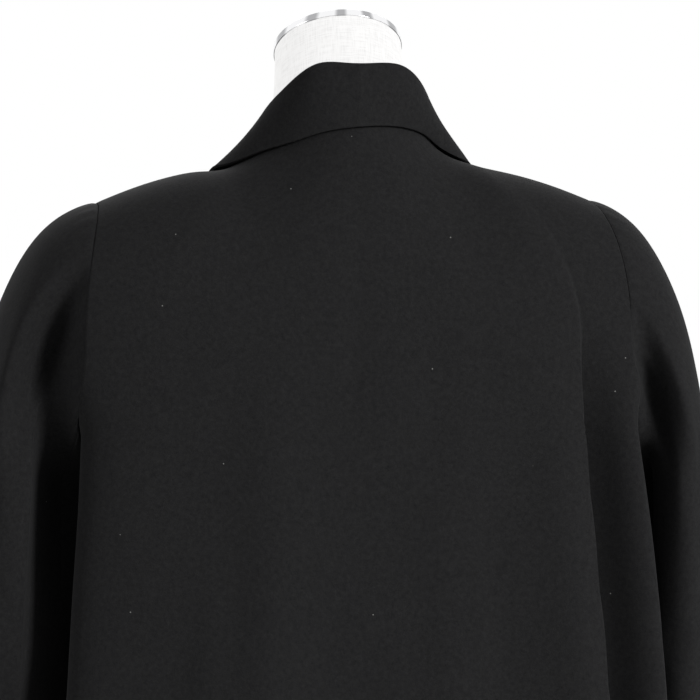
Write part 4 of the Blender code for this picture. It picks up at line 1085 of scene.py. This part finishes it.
def closed_loop_piece(name, rings, material, wrap_rows=False, caps=False):
    """A surface through rings of points: quads between neighbouring rings, round each ring and, if asked,
    from the last ring to the first, or over each end with one face."""
    count, sides = rings.shape[:2]
    index = np.arange(count * sides).reshape(count, sides)
    following = np.roll(index, -1, axis=0) if wrap_rows else index[1:]
    index_low = index if wrap_rows else index[:-1]
    quads = np.stack(
        [index_low, np.roll(index_low, -1, axis=1), np.roll(following, -1, axis=1), following], axis=-1
    ).reshape(-1, 4)
    faces = quads.tolist()
    if caps:
        faces.append(index[0, ::-1].tolist())
        faces.append(index[-1].tolist())
    mesh = bpy.data.meshes.new(name)
    mesh.from_pydata(rings.reshape(-1, 3).tolist(), [], faces)
    mesh.shade_smooth()
    mesh.set_sharp_from_angle(angle=math.radians(50))
    mesh.materials.append(material)
    piece = bpy.data.objects.new(name, mesh)
    bpy.context.scene.collection.objects.link(piece)
    return piece


def fixed_on(piece, slot, *nodes):
    """Fixes a hard piece to the part, in place of its solids if any are named."""
    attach(piece, "root")
    if nodes:
        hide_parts(*nodes)


def tube_rings(path, radius, sides):
    """Rings of a round tube along a path: circles square to the path's direction."""
    ahead = unit(np.gradient(path, axis=0))
    aside = unit(np.cross(ahead, np.array((0.31, 0.22, 0.92))))
    over = np.cross(ahead, aside)
    turn = np.linspace(0, 2 * math.pi, sides, endpoint=False)[None, :, None]
    return path[:, None] + radius * (np.cos(turn) * aside[:, None] + np.sin(turn) * over[:, None])


horn = plain_finish("dark_horn", (0.010, 0.008, 0.007), (0.030, 0.022, 0.018), 160, 0.28)
thread = plain_finish("black_thread", (0.010, 0.010, 0.010), (0.028, 0.028, 0.028), 2500, 0.8)
for number, z in enumerate(BUTTON_HEIGHTS):
    place = settle(body_point(np.array(math.pi), np.array(z)))
    below = settle(body_point(np.array(math.pi), np.array(z - 0.01)))
    up = unit(place - below)
    out = unit(np.cross(np.array((1.0, 0, 0)), up))
    out = out if out[1] < 0 else -out
    aside = np.array((1.0, 0, 0))
    foot = place + BUTTON_LIFT * out
    profile = np.array(BUTTON_PROFILE)
    fine = np.linspace(0, len(profile) - 1, BUTTON_RINGS)
    reach = np.interp(fine, np.arange(len(profile)), profile[:, 0]) * BUTTON_RADIUS
    height = np.interp(fine, np.arange(len(profile)), profile[:, 1]) * BUTTON_THICK
    turn = np.linspace(0, 2 * math.pi, 96, endpoint=False)
    x, y = reach[:, None] * np.cos(turn), reach[:, None] * np.sin(turn)
    gap = np.hypot(np.abs(x) - HOLE_PLACE, np.abs(y) - HOLE_PLACE)
    face = (np.arange(BUTTON_RINGS) < BUTTON_RINGS // 2)[:, None]
    drilled = HOLE_DEPTH * smooth((HOLE_RADIUS * 1.5 - gap) / (HOLE_RADIUS * 0.6))
    sunk = height[:, None] - np.where(face, drilled, 0)
    rings = foot + x[..., None] * aside + y[..., None] * up + sunk[..., None] * out
    button = closed_loop_piece("button_horn_" + str(number + 1), rings[1:-1], horn, caps=True)
    fixed_on(button, "button", "button_" + str(number + 1))
    for slope, word in ((1, "rising"), (-1, "falling")):
        s = np.linspace(-1.15, 1.15, 24)[:, None]
        dish = BUTTON_THICK * BUTTON_PROFILE[0][1]
        arch = dish + THREAD_RISE - THREAD_DIP * smooth((np.abs(s) - 0.8) / 0.35)
        path = foot + HOLE_PLACE * s * aside + HOLE_PLACE * slope * s * up + arch * out
        label = "button_thread_" + word + "_" + str(number + 1)
        cross = closed_loop_piece(label, tube_rings(path, THREAD_RADIUS, 8), thread, caps=True)
        fixed_on(cross, "button")


# Buttonholes
# A worked hole beside each button on the left front: a narrow loop of close black stitches round the slit.
HOLE_LENGTH = 0.026
HOLE_HALF = 0.0013
HOLE_MIDDLE = 0.010
STITCH_RADIUS = 0.00055
STITCH_SWELL = 0.00014
STITCHES = 60
STITCH_PLACE = np.array((0, -0.0003, 0))

for number, z in enumerate(BUTTON_HEIGHTS):
    turn = np.linspace(0, 2 * math.pi, 160, endpoint=False)
    x = HOLE_MIDDLE + HOLE_LENGTH / 2 * power(np.cos(turn), 0.5)
    height = z + HOLE_HALF * power(np.sin(turn), 0.8)
    path = settle(body_point(math.pi - front_angle(x, height), height)) + STITCH_PLACE
    ahead = unit(np.roll(path, -1, axis=0) - np.roll(path, 1, axis=0))
    out = np.array((0, -1.0, 0))
    aside = unit(np.cross(ahead, out))
    spin = np.linspace(0, 2 * math.pi, 8, endpoint=False)[None, :, None]
    bead = (STITCH_RADIUS + STITCH_SWELL * np.cos(STITCHES * turn))[:, None, None]
    rings = path[:, None] + bead * (np.cos(spin) * aside[:, None] + np.sin(spin) * out)
    hole = closed_loop_piece("buttonhole_" + str(number + 1), rings, thread, wrap_rows=True)
    fixed_on(hole, "wool")


# Dress form
# A padded torso and neck with no limbs, covered with plain white linen drawn tight, its neck cut off at a
# forward slope. The coat's shoulders rest on it.
FORM_SECTIONS = (
    # z, half_width, half_depth, centre_y
    (0.802, 0.120, 0.080, 0.000),
    (0.803, 0.155, 0.105, 0.000),
    (0.815, 0.166, 0.114, 0.000),
    (0.900, 0.172, 0.118, 0.000),
    (1.000, 0.159, 0.108, 0.000),
    (1.080, 0.153, 0.104, 0.000),
    (1.180, 0.166, 0.111, 0.000),
    (1.270, 0.178, 0.113, 0.000),
    (1.325, 0.183, 0.097, 0.004),
    (1.365, 0.187, 0.078, 0.006),
)
FORM_SHOULDER = (0.180, 0.160, 0.135, 0.112)
FORM_SHOULDER_DEPTH = 0.060
FORM_SHOULDER_BACK = 0.012
FORM_BACK_FALL = 0.034
FORM_FRONT_FALL = 0.040
FORM_GAP = 0.0030
NECK_RADIUS = 0.0635
NECK_TOP = np.array((0.0, -0.018, 1.562))
NECK_TILT = math.radians(28)
NECK_BASE = (0.074, 0.066, 0.026)
NECK_BASE_Y = 0.004
NECK_BASE_Z = 1.433
NECK_LEAVE = np.array((0, 0, 0.05))
NECK_ARRIVE = np.array((0, -0.04, 0.08))
BARE_NECK = (1.44, 1.50)
NECK_GLOW = 0.90
NECK_SHADE = (0.2, 0.2, 0.2, 1)
WEAVE_ROUND = 0.4


def tilted(points):
    """Points of the neck's top, turned to its forward slope and placed there."""
    y = points[..., 1] * math.cos(NECK_TILT) - points[..., 2] * math.sin(NECK_TILT)
    z = points[..., 1] * math.sin(NECK_TILT) + points[..., 2] * math.cos(NECK_TILT)
    return stack(points[..., 0], y, z) + NECK_TOP


def white_linen():
    """Plain weave: two sets of fine threads, each with slubs drawn out along it, give faint streaks both
    ways. Over the bare neck it has a painted glow of its own in the same tones, and its colour is darkened
    there so that it takes less from the lamps: painted light that keeps the neck evenly white."""
    material = bpy.data.materials.new("white_linen")
    material.use_nodes = True
    nodes, links = material.node_tree.nodes, material.node_tree.links
    shader = nodes["Principled BSDF"]
    place = nodes.new("ShaderNodeUVMap")
    place.uv_map = "weave"
    streaks = []
    for stretch in ((900, 60, 1), (60, 900, 1)):
        turned = nodes.new("ShaderNodeMapping")
        turned.inputs["Scale"].default_value = stretch
        links.new(place.outputs["UV"], turned.inputs["Vector"])
        slub = nodes.new("ShaderNodeTexNoise")
        slub.inputs["Scale"].default_value = 1
        slub.inputs["Detail"].default_value = 3
        links.new(turned.outputs["Vector"], slub.inputs["Vector"])
        streaks.append(slub)
    weave = nodes.new("ShaderNodeMix")
    weave.data_type = "FLOAT"
    weave.inputs["Factor"].default_value = 0.5
    links.new(streaks[0].outputs["Fac"], weave.inputs["A"])
    links.new(streaks[1].outputs["Fac"], weave.inputs["B"])
    tones = nodes.new("ShaderNodeValToRGB")
    tones.color_ramp.elements[0].position = 0.36
    tones.color_ramp.elements[0].color = (0.80, 0.795, 0.79, 1)
    tones.color_ramp.elements[1].position = 0.56
    tones.color_ramp.elements[1].color = (0.93, 0.925, 0.92, 1)
    links.new(weave.outputs["Result"], tones.inputs["Fac"])
    spot = nodes.new("ShaderNodeTexCoord")
    height = nodes.new("ShaderNodeSeparateXYZ")
    links.new(spot.outputs["Object"], height.inputs[0])
    bare_neck = nodes.new("ShaderNodeMapRange")
    bare_neck.inputs["From Min"].default_value = BARE_NECK[0]
    bare_neck.inputs["From Max"].default_value = BARE_NECK[1]
    links.new(height.outputs["Z"], bare_neck.inputs["Value"])
    glow = nodes.new("ShaderNodeMath")
    glow.operation = "MULTIPLY"
    glow.inputs[1].default_value = NECK_GLOW
    links.new(bare_neck.outputs["Result"], glow.inputs[0])
    # Painted glow: over the bare neck the linen gives off light, and its base colour is darkened there by
    # NECK_SHADE.
    links.new(tones.outputs["Color"], shader.inputs["Emission Color"])
    links.new(glow.outputs[0], shader.inputs["Emission Strength"])
    shaded = nodes.new("ShaderNodeMix")
    shaded.data_type = "RGBA"
    shaded.blend_type = "MULTIPLY"
    shaded.inputs["B"].default_value = NECK_SHADE
    links.new(bare_neck.outputs["Result"], shaded.inputs["Factor"])
    links.new(tones.outputs["Color"], shaded.inputs["A"])
    links.new(shaded.outputs["Result"], shader.inputs["Base Color"])
    relief = nodes.new("ShaderNodeBump")
    relief.inputs["Strength"].default_value = 0.4
    relief.inputs["Distance"].default_value = 0.0006
    links.new(weave.outputs["Result"], relief.inputs["Height"])
    links.new(relief.outputs["Normal"], shader.inputs["Normal"])
    shader.inputs["Roughness"].default_value = 0.85
    shader.inputs["Specular IOR Level"].default_value = 0.25
    return material


turn = np.linspace(0, 2 * math.pi, 120, endpoint=False)
rings = []
for z, width, depth, middle in FORM_SECTIONS:
    rings.append(stack(width * np.sin(turn), middle + depth * np.cos(turn), z))
fall = np.where(np.cos(turn) > 0, FORM_BACK_FALL, FORM_FRONT_FALL) * np.abs(np.cos(turn)) ** 1.3
for x in FORM_SHOULDER:
    top = shoulder_line(np.array((x - NECK_POINT[0]) / (SHOULDER_POINT[0] - NECK_POINT[0])))
    deep = FORM_SHOULDER_BACK + FORM_SHOULDER_DEPTH * np.cos(turn)
    rings.append(settle(stack(x * np.sin(turn), deep, top[2] - CLOTH - FORM_GAP - fall)))
wide, deep, rise = NECK_BASE
neck_base = stack(wide * np.sin(turn), NECK_BASE_Y + deep * np.cos(turn), NECK_BASE_Z + rise * np.cos(turn))
rim = stack(NECK_RADIUS * np.sin(turn), NECK_RADIUS * np.cos(turn), 0 * turn)
rings = np.array(rings + [neck_base])
slopes = np.gradient(rings, axis=0)
step = np.linspace(0, 1, 5, endpoint=False)[:, None, None]
torso = [blend(rings[k], rings[k + 1], slopes[k], slopes[k + 1], step) for k in range(len(rings) - 1)]
share = np.linspace(0, 1, 40)[:, None, None]
neck = blend(neck_base, tilted(rim), NECK_LEAVE, NECK_ARRIVE, share)
over_top = tilted(rim * np.array((0.97, 0.90, 0.6))[:, None, None])
below = 0.05 * rings[:1] + np.array((0, 0, 0.95 * FORM_SECTIONS[0][0]))
rings = np.concatenate([below, *torso, neck, over_top])
form = closed_loop_piece("form_linen", rings[:, ::-1], white_linen(), caps=True)
loop_vertex = np.zeros(len(form.data.loops), int)
form.data.loops.foreach_get("vertex_index", loop_vertex)
ring_number, side_number = loop_vertex // len(turn), loop_vertex % len(turn)
face_of = np.repeat(np.arange(len(form.data.polygons)), [p.loop_total for p in form.data.polygons])
climb = np.concatenate([[0], np.cumsum(np.linalg.norm(np.diff(rings[:, 0], axis=0), axis=1))])
second = np.array([p.vertices[1] for p in form.data.polygons])[face_of]
closing = (side_number == 0) & (second % len(turn) == 0)
round_about = np.where(closing, len(turn), side_number)
weave_place = np.stack([round_about * WEAVE_ROUND / len(turn), climb[ring_number]], axis=-1)
form.data.uv_layers.new(name="weave").data.foreach_set("uv", weave_place.ravel().astype(np.float32))
fixed_on(form, "linen", "form_body")


# Neck ring and cap
# A bright chromed band round the top of the neck, its reflections partly painted on as light and grey bands,
# with a low domed cap set inside it.
RING_HEIGHT = 0.007
RING_WALL = 0.0020
RING_LOW = 0.0003
RING_RADIUS = NECK_RADIUS + 0.001
LID_GAP = 0.0003
LID_WALL = 0.0068
LID_STEP = 0.0072
LID_DOME = 0.0066
PAINTED_REFLECTION_BANDS = 9.0


def turned_rings(profile, sides):
    """Rings of a turned shape: each profile point's radius carried round a circle at its height."""
    around = np.linspace(0, 2 * math.pi, sides, endpoint=False)
    radius, height = np.array(profile, float).T
    return stack(radius[:, None] * np.cos(around), radius[:, None] * np.sin(around), height[:, None])


def chrome_painted_reflections():
    """Polished chrome with painted reflections: its colour changes between light and grey nine times round
    the band, by the sine of nine times the angle round the neck, on top of the metal's real reflections."""
    material = bpy.data.materials.new("chrome_painted_reflections")
    material.use_nodes = True
    nodes, links = material.node_tree.nodes, material.node_tree.links
    shader = nodes["Principled BSDF"]
    spot = nodes.new("ShaderNodeTexCoord")
    parts = nodes.new("ShaderNodeSeparateXYZ")
    links.new(spot.outputs["Object"], parts.inputs[0])
    steps = [parts]
    for operation, amount in (("ARCTAN2", None), ("MULTIPLY", PAINTED_REFLECTION_BANDS), ("SINE", None)):
        step = nodes.new("ShaderNodeMath")
        step.operation = operation
        if amount:
            step.inputs[1].default_value = amount
        links.new(steps[-1].outputs[0], step.inputs[0])
        steps.append(step)
    links.new(parts.outputs["Y"], steps[1].inputs[1])
    # Painted reflections: the light and grey base colours stand in for reflected surroundings round the band.
    tones = nodes.new("ShaderNodeValToRGB")
    tones.color_ramp.elements[0].position = 0.0
    tones.color_ramp.elements[0].color = (0.93, 0.93, 0.94, 1)
    tones.color_ramp.elements[1].position = 0.75
    tones.color_ramp.elements[1].color = (0.44, 0.44, 0.45, 1)
    links.new(steps[-1].outputs[0], tones.inputs["Fac"])
    links.new(tones.outputs["Color"], shader.inputs["Base Color"])
    shader.inputs["Metallic"].default_value = 1.0
    shader.inputs["Roughness"].default_value = 0.10
    return material


corner_turn = np.linspace(0, 2 * math.pi, 24, endpoint=False)
band_profile = np.stack(
    [
        RING_RADIUS - RING_WALL / 2 + RING_WALL / 2 * power(np.cos(corner_turn), 0.45),
        RING_LOW + RING_HEIGHT / 2 + RING_HEIGHT / 2 * power(np.sin(corner_turn), 0.35),
    ],
    axis=-1,
)
band_rings = tilted(turned_rings(band_profile[::-1], 180))[:, ::-1]
band = closed_loop_piece("neck_band", band_rings, chrome_painted_reflections(), wrap_rows=True)
fixed_on(band, "ring", "neck_ring")

cap_radius = RING_RADIUS - RING_WALL - LID_GAP
cap_profile = [(0.2 * cap_radius, RING_LOW), (cap_radius, RING_LOW), (cap_radius, RING_LOW + LID_WALL)]
dome = np.linspace(0.02, 1, 24)[::-1]
cap_profile += [(cap_radius * 0.985 * k, RING_LOW + LID_STEP + LID_DOME * (1 - k**2)) for k in dome]
cap_white = plain_finish("cap_white", (0.74, 0.74, 0.72), (0.84, 0.84, 0.82), 60, 0.5)
cap = closed_loop_piece("neck_lid", tilted(turned_rings(cap_profile, 120)), cap_white, caps=True)
fixed_on(cap, "cap", "neck_cap")


# Stand
# A black painted steel pole up into the torso, on a heavy round foot with a rounded rim.
POLE_RADIUS = 0.014
BASE_RADIUS = 0.180
BASE_HEIGHT = 0.014
POLE_TOP = 0.8017
FOOT_ROUND = 0.006
FOOT_CHAMFER = 0.001
POLE_GAP = 0.0003

paint = plain_finish("stand_paint", (0.018, 0.018, 0.019), (0.030, 0.030, 0.031), 420, 0.38, 0.0, 0.0003)
foot_turn = np.linspace(0, math.pi / 2, 10)
foot_profile = [(0.1 * BASE_RADIUS, 0.0), (BASE_RADIUS - FOOT_CHAMFER, 0.0), (BASE_RADIUS, FOOT_CHAMFER)]
rim_radius, rim_height = BASE_RADIUS - FOOT_ROUND, BASE_HEIGHT - FOOT_ROUND
foot_profile += [
    (rim_radius + FOOT_ROUND * math.cos(k), rim_height + FOOT_ROUND * math.sin(k)) for k in foot_turn
]
foot_profile += [(0.5 * BASE_RADIUS, BASE_HEIGHT), (0.1 * BASE_RADIUS, BASE_HEIGHT)]
foot_piece = closed_loop_piece("stand_foot", turned_rings(foot_profile, 144), paint, caps=True)
fixed_on(foot_piece, "stand", "stand_base")
pole_profile = [(POLE_RADIUS * 0.9, BASE_HEIGHT + POLE_GAP), (POLE_RADIUS, BASE_HEIGHT + 0.0012)]
pole_profile += [(POLE_RADIUS, POLE_TOP - 0.001), (POLE_RADIUS * 0.9, POLE_TOP)]
pole = closed_loop_piece("stand_tube", turned_rings(pole_profile, 64), paint, caps=True)
fixed_on(pole, "stand", "stand_pole")
